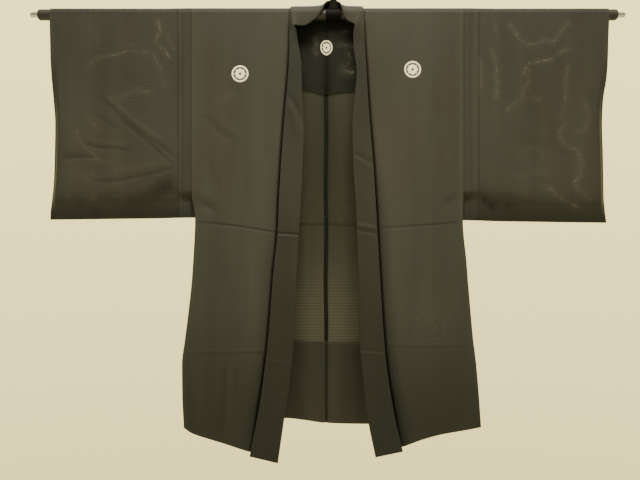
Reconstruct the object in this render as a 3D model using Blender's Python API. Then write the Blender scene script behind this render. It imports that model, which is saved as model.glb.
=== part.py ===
"""Haori jacket, hung open on a kimono hanger.

The jacket is cut the traditional way from narrow cloth: two body lengths that run over the
shoulders, two sleeves folded over the shoulder line, two side gussets, a shoulder yoke inside
the upper back, and one long collar band folded outwards. It hangs on a straight rod that runs
through both sleeves, and the rod hangs from a hook at its middle.

Sizes are in millimetres. A point of cloth is given by three cloth coordinates:
    x     distance from the centre back seam, positive to the right
    s     distance along the cloth from the top line of the rod, negative in front
    lift  distance outwards from the layer in which the body lengths lie
A drop is a height below the rod's axis, positive downwards.
The origin is the seat of the hook, +Z is up and the jacket opens towards -Y.
"""

import math
from bisect import bisect_right

import bmesh
import bpy
from mathutils import Vector

MM = 0.001
LEFT, RIGHT = -1, 1

# ---------------------------------------------------------------------------
# Driving sizes
# ---------------------------------------------------------------------------

ROD_RADIUS = 12.5
ROD_DROP = 115.0          # from the seat of the hook to the rod's axis
GARMENT_SHIFT = -16.0     # centre back seam, measured from the hook's own line

WALL = 1.2                # wall of the body lengths, sleeves and gussets
YOKE_WALL = 1.0
BAND_WALL = 1.6           # the collar band is two layers and a stay
GAP = 0.3                 # between neighbouring pieces
LAYER_RADIUS = 14.7       # middle of the body's cloth where it lies over the rod
QUARTER = LAYER_RADIUS * math.pi / 2

NECK_HALF_WIDTH = 86.0    # straight cut across the cloth at the shoulder
NECK_SEAM_S = 22.0        # the cut lies just behind the rod's top
ARMHOLE_X = {LEFT: 307.7, RIGHT: 312.0}
ARMHOLE_DROP = 415.0      # the sleeve is sewn on from the shoulder down to here
CUFF_DROP = 245.0         # the sleeve's outer edge is open down to here

TURN_UP_HEIGHT = 188.0    # the hem's turned-up cloth
TURN_UP_RADIUS = 1.5
TURN_UP_INSET = 6.0       # it stops short of the side gusset
BAND_FOLD_RADIUS = 2.0
BAND_NECK_LIFT = 0.9      # round the neck the band's seam edge lies a little higher
BAND_NECK_BULGE = 1.2
GUSSET_TOP_DROP = 432.0
GUSSET_BOTTOM_DROP = 936.0
GUSSET_FOLD_IN = 9.0      # the gusset's middle hangs inwards by this much at the hem
YOKE_LIFT = -(WALL / 2 + GAP + YOKE_WALL / 2)
YOKE_SLACK = 1.4          # it hangs a little free of the back
YOKE_HALF_WIDTH = 304.0
YOKE_NAPE_S = 29.0        # its edge at the nape hangs just clear of the saddle


def table(columns, *rows):
    """A short table: a dictionary from each column's name to its list of values."""
    return {name: [row[i] for row in rows] for i, name in enumerate(columns.split())}


# Half widths and edges, each measured outwards from the centre back line.
# fold: the band's folded inner edge, free: its free outer edge, seam: where it joins the front
BAND = {
    LEFT: table(
        "drop   fold   free   seam",
        (52,    68.5,  84.0,  85.7),
        (80,    63.0,  84.5,  85.0),
        (119,   57.0,  86.0,  83.0),
        (173,   56.0,  90.0,  82.0),
        (262,   52.0,  97.5,  80.0),
        (420,   57.3,  107.5, 84.0),
        (504,   62.5,  111.0, 89.0),
        (590,   67.0,  120.0, 93.0),
        (745,   73.6,  132.0, 100.0),
        (852,   85.0,  145.0, 111.0),
        (912,   95.0,  154.5, 121.0),
        (1012,  111.0, 175.0, 137.0)),
    RIGHT: table(
        "drop   fold   free   seam",
        (52,    60.5,  85.5,  85.7),
        (83,    62.0,  87.5,  85.0),
        (137,   68.5,  91.0,  84.0),
        (182,   64.5,  93.5,  84.0),
        (255,   58.5,  98.5,  83.0),
        (348,   60.7,  106.0, 87.0),
        (443,   66.5,  111.7, 92.0),
        (630,   72.3,  122.0, 98.0),
        (742,   74.2,  129.0, 101.0),
        (812,   80.0,  136.0, 107.0),
        (912,   92.0,  152.0, 118.0),
        (999,   110.0, 173.0, 136.0)),
}
BAND_FREE_RATIO = {LEFT: 0.985, RIGHT: 0.987}   # the band's lower end slopes up to its free edge

BODY_SIDE = {
    LEFT: table(
        "drop   x",
        (0,     307.55),
        (415,   307.55),
        (440,   303.0),
        (472,   299.8),
        (563,   305.0),
        (618,   309.5),
        (690,   318.2),
        (744,   324.2),
        (798,   327.6),
        (870,   326.0),
        (941,   322.0)),
    RIGHT: table(
        "drop   x",
        (0,     311.85),
        (415,   311.85),
        (440,   309.0),
        (477,   308.7),
        (563,   316.8),
        (618,   321.4),
        (690,   327.8),
        (744,   332.3),
        (798,   338.5),
        (870,   344.1),
        (941,   348.4)),
}
FRONT_HEM = {
    LEFT: table(
        "x      drop",
        (111,   1008),
        (137,   1003),
        (174,   993),
        (226,   978),
        (281,   962),
        (308,   951),
        (322,   941)),
    RIGHT: table(
        "x      drop",
        (110,   995),
        (136,   989),
        (173,   981),
        (214,   968),
        (255,   957),
        (296,   949),
        (348,   940)),
}
BACK_HEM = table(
    "x       drop",
    (-322,   938),
    (-96,    938),
    (-50,    943),
    (0,      950),
    (95,     952),
    (348,    941))
YOKE_EDGE = table(
    "x       drop",
    (-304,   166),
    (-57,    169),
    (0,      179),
    (43,     174),
    (304,    168))

# How far the cloth stands out from the rod's plane, at three places across each panel
FRONT_DEPTH = table(
    "drop   edge   middle  side",
    (0,     14.7,  14.7,   14.7),
    (100,   16.0,  15.5,   14.7),
    (250,   19.0,  17.5,   14.4),
    (415,   24.0,  22.0,   13.2),
    (600,   30.0,  29.0,   17.5),
    (800,   38.0,  37.0,   26.0),
    (1012,  46.0,  44.0,   34.0))
BACK_DEPTH = table(
    "drop   edge   middle  side",
    (0,     14.7,  14.7,   14.7),
    (100,   17.0,  16.0,   14.7),
    (250,   21.5,  19.5,   14.4),
    (415,   28.0,  25.5,   13.2),
    (600,   37.0,  33.0,   17.5),
    (800,   46.5,  42.0,   26.0),
    (952,   53.0,  48.0,   32.5))
FRONT_EDGE_X = 60.0       # where the edge column of FRONT_DEPTH holds

# Soft standing folds of the hanging cloth: rise is outwards, so a trough has a negative rise
FRONT_FOLDS = table(
    "x       width  rise   start  full   end",
    (-205,   30,    4.0,   260,   760,   1100),
    (-272,   26,    -3.5,  480,   860,   1100),
    (-150,   18,    -3.0,  520,   900,   1100),
    (215,    34,    3.5,   300,   700,   1100),
    (285,    28,    -3.5,  440,   840,   1100),
    (152,    18,    -2.5,  560,   900,   1100))
BACK_FOLDS = table(
    "x       width  rise   start  full   end",
    (0,      13,    6.0,   20,    200,   1100),
    (-52,    20,    -4.5,  110,   420,   1100),
    (46,     20,    -4.0,  110,   380,   1100),
    (-120,   32,    3.5,   200,   640,   1100),
    (118,    34,    3.0,   240,   600,   1100),
    (-235,   34,    -4.0,  380,   820,   1100),
    (228,    36,    -4.0,  420,   860,   1100))

# The sleeves: outer edge, bottom, and half the depth of the flat pouch
SLEEVE_OUTER = {
    LEFT: table(
        "drop   x",
        (0,     632.0),
        (89,    630.0),
        (143,   627.4),
        (198,   623.3),
        (253,   619.8),
        (326,   620.9),
        (381,   622.9),
        (417,   626.2),
        (454,   631.0),
        (471,   631.8)),
    RIGHT: table(
        "drop   x",
        (0,     643.0),
        (52,    640.2),
        (143,   636.5),
        (198,   629.0),
        (253,   626.4),
        (326,   628.7),
        (417,   631.1),
        (454,   634.7),
        (478,   638.5)),
}
SHUT_EDGE_CLEARANCE = 3.9    # from the body's side to the sleeve's shut inner edge's section
SLEEVE_BOTTOM = {
    LEFT: table(
        "x      drop",
        (302,   466.0),
        (405,   468.0),
        (632,   471.0)),
    RIGHT: table(
        "x      drop",
        (312,   472.0),
        (398,   474.5),
        (638,   478.0)),
}
SLEEVE_DEPTH = table(
    "above  depth",       # above: height above the sleeve's bottom
    (0,     0.0),
    (1.3,   3.0),
    (4,     4.6),
    (14,    6.4),
    (50,    8.6),
    (130,   11.0),
    (260,   12.6),
    (380,   13.5),
    (470,   13.8))
SLEEVE_FOLDS = table(
    "x       width  rise   start  full   end",
    (-380,   34,    2.5,   90,    300,   440),
    (-520,   46,    -3.0,  40,    240,   430),
    (-585,   26,    2.0,   120,   300,   440),
    (385,    38,    2.5,   110,   320,   440),
    (500,    50,    -3.0,  60,    260,   430),
    (590,    28,    2.0,   140,   330,   440))
SHUT_EDGE_DEPTH = 3.2     # half the depth of a sleeve where its two layers are sewn together
SHUT_EDGE_ROUND = 2.6     # how far the sewn edge stands out past the section that it shuts

# The collar band round the neck, in cloth coordinates, from the left shoulder to the right.
# At the sides it flops forward over the rod, and at the nape it stands up behind the hook.
NECK_BAND = table(
    "seam_x seam_s  fold_x fold_s fold_lift  free_x free_s free_lift",
    (-85.2,  -62,   -70,   -66,   9,         -84.5, -66,   4.6),
    (-85.2,  -42,   -74,   -55,   13,        -85.5, -44,   5.6),
    (-85.2,  -20,   -71,   -50.5, 10,        -87,   -21,   6.0),
    (-85.2,  2,     -65,   -49,   7.8,       -87,   2,     6.2),
    (-83,    19,    -56,   -47.5, 6.6,       -81,   26,    6.4),
    (-66,    21.7,  -43,   -43.5, 6.6,       -64,   42,    6.2),
    (-46,    21.7,  -27,   -31,   6.8,       -44,   52,    5.8),
    (-26,    21.7,  -13,   -12,   7.5,       -24,   56,    5.6),
    (-8,     21.7,  -2,    4,     9.0,       -6,    57,    5.6),
    (14,     21.7,  14,    6,     12.0,      14,    57,    5.6),
    (32,     21.7,  28,    5,     10.0,      32,    56,    5.6),
    (42,     21.7,  34,    -10,   8.5,       42,    54,    5.8),
    (53,     21.7,  41,    -27,   7.2,       53,    51,    6.0),
    (68,     21.7,  51,    -40,   6.6,       67,    42,    6.2),
    (83,     19,    60,    -46,   6.8,       81,    26,    6.4),
    (85.2,   2,     65,    -48.5, 7.8,       87,    2,     6.2),
    (85.2,   -20,   66,    -51.5, 9.0,       87,    -21,   6.0),
    (85.2,   -42,   63,    -57,   8.5,       86,    -44,   5.4),
    (85.2,   -62,   61,    -68,   6.0,       85.8,  -66,   4.6))

# The hanger
ROD_ENDS = {LEFT: -662.5, RIGHT: 668.0}
ROD_BEVEL = 3.0
PIN_RADIUS = 6.3
PIN_LENGTH = 17.0
PIN_BEVEL = 1.2
SADDLE_RADIUS = 13.6
SADDLE_LENGTH = 36.0
HOOK_DEPTH = 8.0
HOOK_CHAMFER = 1.2
HOOK_BAR_HALF = 4.5
HOOK_INNER_RADIUS = 20.0
HOOK_START_ANGLE = -40    # degrees round the hook's centre, from the neck's side to the tip
HOOK_END_ANGLE = 200
NECK_PROFILE = table(
    "rise   half",        # rise above the rod's axis, half the neck's width
    (SADDLE_RADIUS + GAP, 12.0),
    (18,    11.0),
    (23,    9.0),
    (30,    7.9),
    (46,    7.8),
    (56,    6.0))

# Mesh steps
PANEL_LEVELS = (1.0, 0.95, 0.89, 0.82, 0.74, 0.66, 0.575, 0.49, 0.41, 0.335, 0.26, 0.185, 0.12, 0.066, 0.028)
YOKE_LEVELS = (0.028, 0.066, 0.12)
BAND_LEVELS = PANEL_LEVELS[:-1]
ARC_STEPS = (-16.5, -11.0, -5.5, 0.0, 5.5, 11.0, 16.5)
TURN_UP_ROWS = 2
OUTER_COLUMNS = 9
NECK_COLUMNS = 3
SLEEVE_COLUMNS = (0.0, 0.03, 0.10, 0.22, 0.36, 0.50, 0.64, 0.78, 0.90, 0.97, 1.0)
SLEEVE_LEVELS = (1.3, 4, 14, 34, 52, 90, 140, 180, 222, 280, 340, 400, 440)
SLEEVE_ARC = (-90, -67.5, -45, -22.5, 0, 22.5, 45, 67.5, 90)
BAND_UNDER_STEPS = 7
BAND_OUTER_STEPS = 11
BAND_NECK_STATIONS = 46
ROUND_SEGMENTS = 24


# ---------------------------------------------------------------------------
# Smooth readings from the tables
# ---------------------------------------------------------------------------

def reading(source, key, value, column):
    """Smooth value of a column where the key column holds the value, with no overshoot."""
    xs, ys = source[key], source[column]
    if value <= xs[0]:
        return ys[0]
    if value >= xs[-1]:
        return ys[-1]
    steps = [(ys[k + 1] - ys[k]) / (xs[k + 1] - xs[k]) for k in range(len(xs) - 1)]

    def slope(k):
        if k == 0 or k == len(steps):
            return steps[min(k, len(steps) - 1)]
        before, after = steps[k - 1], steps[k]
        return 0.0 if before * after <= 0 else 2 * before * after / (before + after)

    i = bisect_right(xs, value) - 1
    width = xs[i + 1] - xs[i]
    t = (value - xs[i]) / width
    rise = 3 * t * t - 2 * t ** 3
    return (ys[i] * (1 - rise) + ys[i + 1] * rise
            + width * slope(i) * (t ** 3 - 2 * t * t + t)
            + width * slope(i + 1) * (t ** 3 - t * t))


def ease(start, end, value):
    """0 before start, 1 after end, and a smooth step between them."""
    t = min(max((value - start) / (end - start), 0.0), 1.0)
    return t * t * (3 - 2 * t)


def fold_rise(folds, x, drop):
    """Sum of the standing folds at a point of a panel."""
    total = 0.0
    for i, centre in enumerate(folds["x"]):
        across = (x - centre) / folds["width"][i]
        along = ease(folds["start"][i], folds["full"][i], drop)
        fade = 1 - ease(folds["full"][i], folds["end"][i], drop)
        total += folds["rise"][i] * math.exp(-across * across) * along * max(fade, 0.0)
    return total


def across_panel(depths, drop, t):
    """Depth between a panel's edge (t = 0) and its side (t = 1)."""
    edge, middle, side = (reading(depths, "drop", drop, name) for name in ("edge", "middle", "side"))
    t = min(max(t, 0.0), 1.0)
    return edge * (1 - t) * (1 - 2 * t) + middle * 4 * t * (1 - t) + side * t * (2 * t - 1)


# ---------------------------------------------------------------------------
# Where the hanging cloth lies
# ---------------------------------------------------------------------------

def side_of(x):
    return LEFT if x < 0 else RIGHT


def body_depth(x, drop, front):
    """Distance of the body's cloth from the rod's plane, in front or behind."""
    side_x = reading(BODY_SIDE[side_of(x)], "drop", drop, "x")
    edge_x = FRONT_EDGE_X if front else 0.0
    t = (abs(x) - edge_x) / (side_x - edge_x)
    level = across_panel(FRONT_DEPTH if front else BACK_DEPTH, drop, t)
    folds = fold_rise(FRONT_FOLDS if front else BACK_FOLDS, x, drop)
    return level + folds * (1 - ease(0.82, 1.0, t))


def hung(x, s, lift, depth=body_depth):
    """World position, in millimetres, of a point in cloth coordinates."""
    radius = LAYER_RADIUS + lift
    if abs(s) <= QUARTER:
        angle = s / LAYER_RADIUS
        y, z = radius * math.sin(angle), radius * math.cos(angle)
    else:
        drop = abs(s) - QUARTER
        y = math.copysign(depth(x, drop, s < 0) + lift, s)
        z = -drop
    return Vector((x + GARMENT_SHIFT, y, z - ROD_DROP))


def hem_drop(side, x, front):
    """Drop of the hem at a distance x from the centre back line."""
    if front:
        return reading(FRONT_HEM[side], "x", x, "drop")
    return reading(BACK_HEM, "x", side * x, "drop")


def s_at(drop, front):
    """Distance along the cloth to a drop, in front of the rod or behind it."""
    return -(QUARTER + drop) if front else QUARTER + drop


# ---------------------------------------------------------------------------
# Meshes
# ---------------------------------------------------------------------------

def material(name, colour, roughness, metallic=0.0):
    made = bpy.data.materials.new(name)
    made.use_nodes = True
    shader = made.node_tree.nodes["Principled BSDF"]
    shader.inputs["Base Color"].default_value = (*colour, 1.0)
    shader.inputs["Roughness"].default_value = roughness
    shader.inputs["Metallic"].default_value = metallic
    made.diffuse_color = (*colour, 1.0)
    return made


def new_object(name, bm, finish):
    mesh = bpy.data.meshes.new(name)
    bm.to_mesh(mesh)
    bm.free()
    mesh.materials.append(finish)
    made = bpy.data.objects.new(name, mesh)
    bpy.context.scene.collection.objects.link(made)
    return made


def cloth_piece(name, rows, wall, finish, skip=None):
    """A cloth wall through a grid of points: rows of equal length, None where there is no cloth.

    skip(i, j) is true for a cell of the grid that isn't part of the piece.
    """
    bm = bmesh.new()
    points = [[None if p is None else bm.verts.new(p * MM) for p in row] for row in rows]
    for i in range(len(rows) - 1):
        for j in range(len(rows[0]) - 1):
            if skip and skip(i, j):
                continue
            corners = (points[i][j], points[i][j + 1], points[i + 1][j + 1], points[i + 1][j])
            bm.faces.new(corners)
    return finish_cloth(name, bm, wall, finish)


def finish_cloth(name, bm, wall, finish):
    """Give the sheet its wall, half on each side."""
    bmesh.ops.delete(bm, geom=[v for v in bm.verts if not v.link_faces], context="VERTS")
    bmesh.ops.recalc_face_normals(bm, faces=bm.faces)
    made = new_object(name, bm, finish)
    solid = made.modifiers.new("wall", "SOLIDIFY")
    solid.thickness = wall * MM
    solid.offset = 0.0
    solid.use_even_offset = True
    solid.use_quality_normals = True
    return made


def turned_piece(name, outline, finish, hollow=False):
    """A turned piece on the rod's axis from (x, radius) pairs; hollow closes the outline on itself."""
    bm = bmesh.new()
    rings = []
    for x, radius in outline:
        angles = [2 * math.pi * k / ROUND_SEGMENTS for k in range(ROUND_SEGMENTS)]
        rings.append([bm.verts.new(Vector((x + GARMENT_SHIFT, radius * math.cos(a),
                                           radius * math.sin(a) - ROD_DROP)) * MM)
                      for a in angles])
    pairs = list(zip(rings, rings[1:]))
    if hollow:
        pairs.append((rings[-1], rings[0]))
    else:
        bm.faces.new(rings[0])
        bm.faces.new(rings[-1])
    for first, second in pairs:
        for k in range(ROUND_SEGMENTS):
            following = (k + 1) % ROUND_SEGMENTS
            bm.faces.new((first[k], first[following], second[following], second[k]))
    bmesh.ops.recalc_face_normals(bm, faces=bm.faces)
    return new_object(name, bm, finish)


# ---------------------------------------------------------------------------
# The jacket's pieces
# ---------------------------------------------------------------------------

def body_length(name, side, finish):
    """One body length: front turn-up, front, shoulder, back and back turn-up."""

    def column_x(j, drop, front, inset=0.0):
        outer = reading(BODY_SIDE[side], "drop", drop, "x") - inset
        if j < NECK_COLUMNS:
            return GAP / 2 + (NECK_HALF_WIDTH - GAP / 2) * j / NECK_COLUMNS
        inner = reading(BAND[side], "drop", drop, "seam") + GAP / 2 if front else NECK_HALF_WIDTH
        return inner + (outer - inner) * (j - NECK_COLUMNS) / OUTER_COLUMNS

    columns = range(NECK_COLUMNS + OUTER_COLUMNS + 1)

    def panel_rows(front):
        """Rows of a hanging panel from its hem up to the rod, with the turn-up first."""
        hems = [hem_drop(side, column_x(j, 940.0, front), front) for j in columns]
        turned = [(TURN_UP_HEIGHT * (1 - k / TURN_UP_ROWS) + TURN_UP_RADIUS * k / TURN_UP_ROWS,
                   -2 * TURN_UP_RADIUS, TURN_UP_INSET) for k in range(TURN_UP_ROWS + 1)]
        turned.append((0.0, -TURN_UP_RADIUS, TURN_UP_INSET / 2))
        rows = []
        for height, lift, inset in turned:
            rows.append([(j, hems[j] - height, lift, inset) for j in columns])
        for level in PANEL_LEVELS + (0.0,):
            rows.append([(j, (hems[j] - TURN_UP_RADIUS) * level, 0.0, 0.0) for j in columns])
        return [[hung(side * column_x(j, drop, front, inset), s_at(drop, front), lift)
                 for j, drop, lift, inset in row] for row in rows]

    front_rows = panel_rows(True)
    arc_rows = [[hung(side * column_x(j, 0.0, True), s, 0.0) for j in columns] for s in ARC_STEPS]
    neck_row = [hung(side * column_x(j, 0.0, False), NECK_SEAM_S, 0.0) for j in columns]
    back_rows = panel_rows(False)[:-1]
    rows = front_rows + arc_rows + [neck_row] + back_rows[::-1]
    first_back = len(front_rows) + len(arc_rows)

    def skip(i, j):
        return j < NECK_COLUMNS and i < first_back

    return cloth_piece(name, rows, WALL, finish, skip)


def sleeve(name, side, finish):
    """One sleeve: a flat pouch over the rod, open at the armhole and at the cuff."""
    armhole = ARMHOLE_X[side] + GAP / 2

    def inner_x(drop):
        shut = ease(ARMHOLE_DROP - 12, ARMHOLE_DROP, drop)
        beside_body = reading(BODY_SIDE[side], "drop", drop, "x") + SHUT_EDGE_CLEARANCE
        return armhole + (beside_body - armhole) * shut

    def outer_x(drop):
        shut = ease(CUFF_DROP - 20, CUFF_DROP, drop)
        return reading(SLEEVE_OUTER[side], "drop", drop, "x") - SHUT_EDGE_ROUND * shut

    def point(t, level, front):
        across = armhole + (outer_x(0.0) - armhole) * t
        drop = reading(SLEEVE_BOTTOM[side], "x", across, "drop") - level
        x = inner_x(drop) + (outer_x(drop) - inner_x(drop)) * t
        depth = sleeve_depth(side, x, drop, level, t)
        return Vector((side * x + GARMENT_SHIFT, -depth if front else depth, -drop - ROD_DROP))

    def rod_point(t, angle):
        x = armhole + (outer_x(0.0) - armhole) * t
        radius = sleeve_depth(side, x, 0.0, reading(SLEEVE_BOTTOM[side], "x", x, "drop"), t)
        return Vector((side * x + GARMENT_SHIFT, radius * math.sin(angle),
                       radius * math.cos(angle) - ROD_DROP))

    def loop(t):
        """One section round the sleeve, from its bottom line up the front and down the back."""
        front = [point(t, level, True) for level in SLEEVE_LEVELS]
        back = [point(t, level, False) for level in reversed(SLEEVE_LEVELS)]
        over = [rod_point(t, math.radians(a)) for a in SLEEVE_ARC]
        return [point(t, 0.0, True)] + front + over + back

    bm = bmesh.new()
    sections = [[bm.verts.new(p * MM) for p in loop(t)] for t in SLEEVE_COLUMNS]
    size = len(sections[0])
    for first, second in zip(sections, sections[1:]):
        for k in range(size):
            following = (k + 1) % size
            bm.faces.new((first[k], first[following], second[following], second[k]))

    def shut(section, outwards, top_drop):
        """Join the two layers at a sleeve's end, from its bottom up to a drop."""
        previous_front = previous_back = previous_edge = section[0]
        for k in range(1, len(SLEEVE_LEVELS) + 1):
            front, back = section[k], section[size - k]
            drop = -front.co.z / MM - ROD_DROP
            if drop < top_drop:
                break
            middle = (front.co + back.co) / 2 + Vector((outwards * SHUT_EDGE_ROUND * MM, 0, 0))
            edge = bm.verts.new(middle)
            if k == 1:
                bm.faces.new((section[0], front, edge))
                bm.faces.new((section[0], edge, back))
            else:
                bm.faces.new((previous_front, front, edge, previous_edge))
                bm.faces.new((previous_edge, edge, back, previous_back))
            previous_front, previous_back, previous_edge = front, back, edge

    shut(sections[0], -side, ARMHOLE_DROP)
    shut(sections[-1], side, CUFF_DROP)
    return finish_cloth(name, bm, WALL, finish)


def sleeve_depth(side, x, drop, level, t):
    """Half the depth of a sleeve's pouch."""
    depth = reading(SLEEVE_DEPTH, "above", level, "depth")
    depth += fold_rise(SLEEVE_FOLDS, side * x, drop)
    at_body = reading(FRONT_DEPTH, "drop", drop, "side")
    depth += (at_body - depth) * (1 - ease(0.0, 0.22, t))
    sewn = min(SHUT_EDGE_DEPTH, reading(SLEEVE_DEPTH, "above", level, "depth"))
    inner_shut = ease(ARMHOLE_DROP - 22, ARMHOLE_DROP, drop) * (1 - ease(0.0, 0.10, t))
    outer_shut = ease(CUFF_DROP - 45, CUFF_DROP, drop) * ease(0.86, 1.0, t)
    shut = max(inner_shut, outer_shut)
    return depth + (sewn - depth) * shut


def gusset(name, side, finish):
    """Long wedge between the front and the back, hanging slightly inwards along its middle."""
    rows = []
    count = 14
    for k in range(count + 1):
        drop = GUSSET_TOP_DROP + (GUSSET_BOTTOM_DROP - GUSSET_TOP_DROP) * k / count
        side_x = reading(BODY_SIDE[side], "drop", drop, "x")
        x = side_x - WALL / 2
        front = -(body_depth(side * side_x, drop, True) - WALL / 2 - GAP)
        back = body_depth(side * side_x, drop, False) - WALL / 2 - GAP
        fold = GUSSET_FOLD_IN * k / count
        row = []
        for across in (0.0, 0.25, 0.5, 0.75, 1.0):
            inwards = fold * math.sin(math.pi * across) ** 2
            row.append(Vector((side * (x - inwards) + GARMENT_SHIFT,
                               front + (back - front) * across, -drop - ROD_DROP)))
        rows.append(row)
    return cloth_piece(name, rows, WALL, finish)


def yoke(name, finish):
    """Second layer inside the shoulders and the upper back, cut out at the neck."""
    share = (0.0, 1 / 3, 2 / 3, 1.0)
    outer = [NECK_HALF_WIDTH + (YOKE_HALF_WIDTH - NECK_HALF_WIDTH) * k / 4 for k in range(5)]
    half = [NECK_HALF_WIDTH * f for f in share[:-1]] + outer
    xs = [-x for x in reversed(half[1:])] + half
    shoulder = ARC_STEPS + (NECK_SEAM_S,)
    rows = [[hung(x, s, YOKE_LIFT) for x in xs] for s in shoulder[:-1]]
    rows.append([hung(x, YOKE_NAPE_S if abs(x) < NECK_HALF_WIDTH else NECK_SEAM_S, YOKE_LIFT)
                 for x in xs])
    for level in YOKE_LEVELS:
        drops = [hem_drop(side_of(x), abs(x), False) * level for x in xs]
        rows.append([hung(x, s_at(drop, False), YOKE_LIFT - YOKE_SLACK) for x, drop in zip(xs, drops)])
    edge = [reading(YOKE_EDGE, "x", x, "drop") for x in xs]
    rows.append([hung(x, s_at(drop, False), YOKE_LIFT - YOKE_SLACK) for x, drop in zip(xs, edge)])
    cut = [abs(x) <= NECK_HALF_WIDTH + GAP for x in xs]

    def skip(i, j):
        return i < len(shoulder) - 1 and cut[j] and cut[j + 1]

    return cloth_piece(name, rows, YOKE_WALL, finish, skip)


def band_section(seam, fold, free, bulge):
    """The band's section in cloth coordinates: out from its seam, round the fold, to its free edge.

    bulge is how far each layer stands off a straight line between its two edges.
    """
    along = (fold - seam).normalized()
    up = Vector((0, 0, 1))
    up = (up - along * up.dot(along)).normalized()
    centre = fold - along * BAND_FOLD_RADIUS + up * BAND_FOLD_RADIUS
    bend = []
    for degrees in (0, 60, 120, 180):
        a = math.radians(degrees)
        bend.append(centre + (along * math.sin(a) - up * math.cos(a)) * BAND_FOLD_RADIUS)

    def layer(start, end, steps, height):
        points = []
        for k in range(steps + 1):
            stand_off = Vector((0, 0, height * math.sin(math.pi * k / steps)))
            points.append(start.lerp(end, k / steps) + stand_off)
        return points

    under = layer(seam, bend[0], BAND_UNDER_STEPS, bulge)
    outer = layer(bend[-1], free, BAND_OUTER_STEPS, 2 * bulge)
    return under[:-1] + bend + outer[1:]


def band_front_stations(side):
    """Sections of the band up one front, level with the rows of the body's front."""
    rows = BAND[side]
    seam_end = hem_drop(side, rows["seam"][-1], True)
    fold_ratio = rows["drop"][-1] / seam_end
    stations = []
    for level in BAND_LEVELS:
        drop = (seam_end - TURN_UP_RADIUS) * level
        fold_drop = drop * (1 + (fold_ratio - 1) * level)
        free_drop = fold_drop * (1 + (BAND_FREE_RATIO[side] - 1) * level)
        seam = Vector((side * (reading(rows, "drop", drop, "seam") - GAP / 2), s_at(drop, True), 0))
        fold = Vector((side * reading(rows, "drop", fold_drop, "fold"), s_at(fold_drop, True), 0))
        free = Vector((side * reading(rows, "drop", free_drop, "free"), s_at(free_drop, True),
                       2 * BAND_FOLD_RADIUS))
        stations.append((seam, fold, free, 0.0))
    return stations


def band_neck_stations():
    """Sections of the band round the neck, evenly spaced through the rows of NECK_BAND."""
    last = len(NECK_BAND["seam_x"]) - 1
    numbered = dict(NECK_BAND, row=list(range(last + 1)))
    stations = []
    for k in range(BAND_NECK_STATIONS + 1):
        row = last * k / BAND_NECK_STATIONS

        def read(column):
            return reading(numbered, "row", row, column)

        seam = Vector((read("seam_x"), read("seam_s"), BAND_NECK_LIFT))
        fold = Vector((read("fold_x"), read("fold_s"), read("fold_lift") - 2 * BAND_FOLD_RADIUS))
        free = Vector((read("free_x"), read("free_s"), read("free_lift")))
        stations.append((seam, fold, free, BAND_NECK_BULGE))
    return stations


def collar(name, finish):
    """The whole band, from the left front's hem round the neck to the right front's hem."""
    stations = (band_front_stations(LEFT) + band_neck_stations()
                + band_front_stations(RIGHT)[::-1])
    rows = [[hung(p.x, p.y, p.z) for p in band_section(*station)] for station in stations]
    return cloth_piece(name, rows, BAND_WALL, finish)


# ---------------------------------------------------------------------------
# The hanger's pieces
# ---------------------------------------------------------------------------

def rod(finish):
    left, right = ROD_ENDS[LEFT], ROD_ENDS[RIGHT]
    end_radius = ROD_RADIUS - ROD_BEVEL
    outline = ((left, end_radius), (left + ROD_BEVEL, ROD_RADIUS),
               (right - ROD_BEVEL, ROD_RADIUS), (right, end_radius))
    return turned_piece("rod", outline, finish)


def rod_end(name, side, finish):
    start = ROD_ENDS[side] + side * GAP
    end = start + side * PIN_LENGTH
    outline = ((start, PIN_RADIUS), (end - side * PIN_BEVEL, PIN_RADIUS),
               (end, PIN_RADIUS - PIN_BEVEL))
    return turned_piece(name, outline, finish)


def saddle(finish):
    """Short sleeve round the rod, under the hook."""
    inner = ROD_RADIUS + GAP
    start = -GARMENT_SHIFT - SADDLE_LENGTH / 2
    end = start + SADDLE_LENGTH
    outline = ((start, inner), (start, SADDLE_RADIUS), (end, SADDLE_RADIUS), (end, inner))
    return turned_piece("saddle", outline, finish, hollow=True)


def hook_path():
    """Centre line and half width of the neck and the hook, from the saddle to the tip."""
    stations = []
    for rise, half in zip(NECK_PROFILE["rise"], NECK_PROFILE["half"]):
        stations.append((0.0, rise - ROD_DROP, half))
    radius = HOOK_INNER_RADIUS + HOOK_BAR_HALF
    centre_z = -HOOK_INNER_RADIUS
    first = math.radians(HOOK_START_ANGLE)
    start = Vector(stations[-1][:2])
    end = Vector((radius * math.cos(first), centre_z + radius * math.sin(first)))
    reach = (end - start).length / 2
    controls = (start, start + Vector((0, reach)),
                end + Vector((math.sin(first), -math.cos(first))) * reach, end)
    for t in (0.25, 0.5, 0.75):
        weights = ((1 - t) ** 3, 3 * t * (1 - t) ** 2, 3 * t * t * (1 - t), t ** 3)
        bend = sum((c * w for c, w in zip(controls, weights)), Vector((0, 0)))
        stations.append((bend.x, bend.y, NECK_PROFILE["half"][-1] * (1 - t) + HOOK_BAR_HALF * t))
    for degrees in range(HOOK_START_ANGLE, HOOK_END_ANGLE + 1, 20):
        a = math.radians(degrees)
        stations.append((radius * math.cos(a), centre_z + radius * math.sin(a), HOOK_BAR_HALF))
    return stations


def chamfered_corners(half_width, half_depth, chamfer):
    """Corners of a rectangle with cut corners, in order round it."""
    corners = []
    for u, v in ((1, -1), (1, 1), (-1, 1), (-1, -1)):
        flat = (u * (half_width - chamfer), v * half_depth)
        upright = (u * half_width, v * (half_depth - chamfer))
        corners += [flat, upright] if u * v < 0 else [upright, flat]
    return corners


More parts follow.
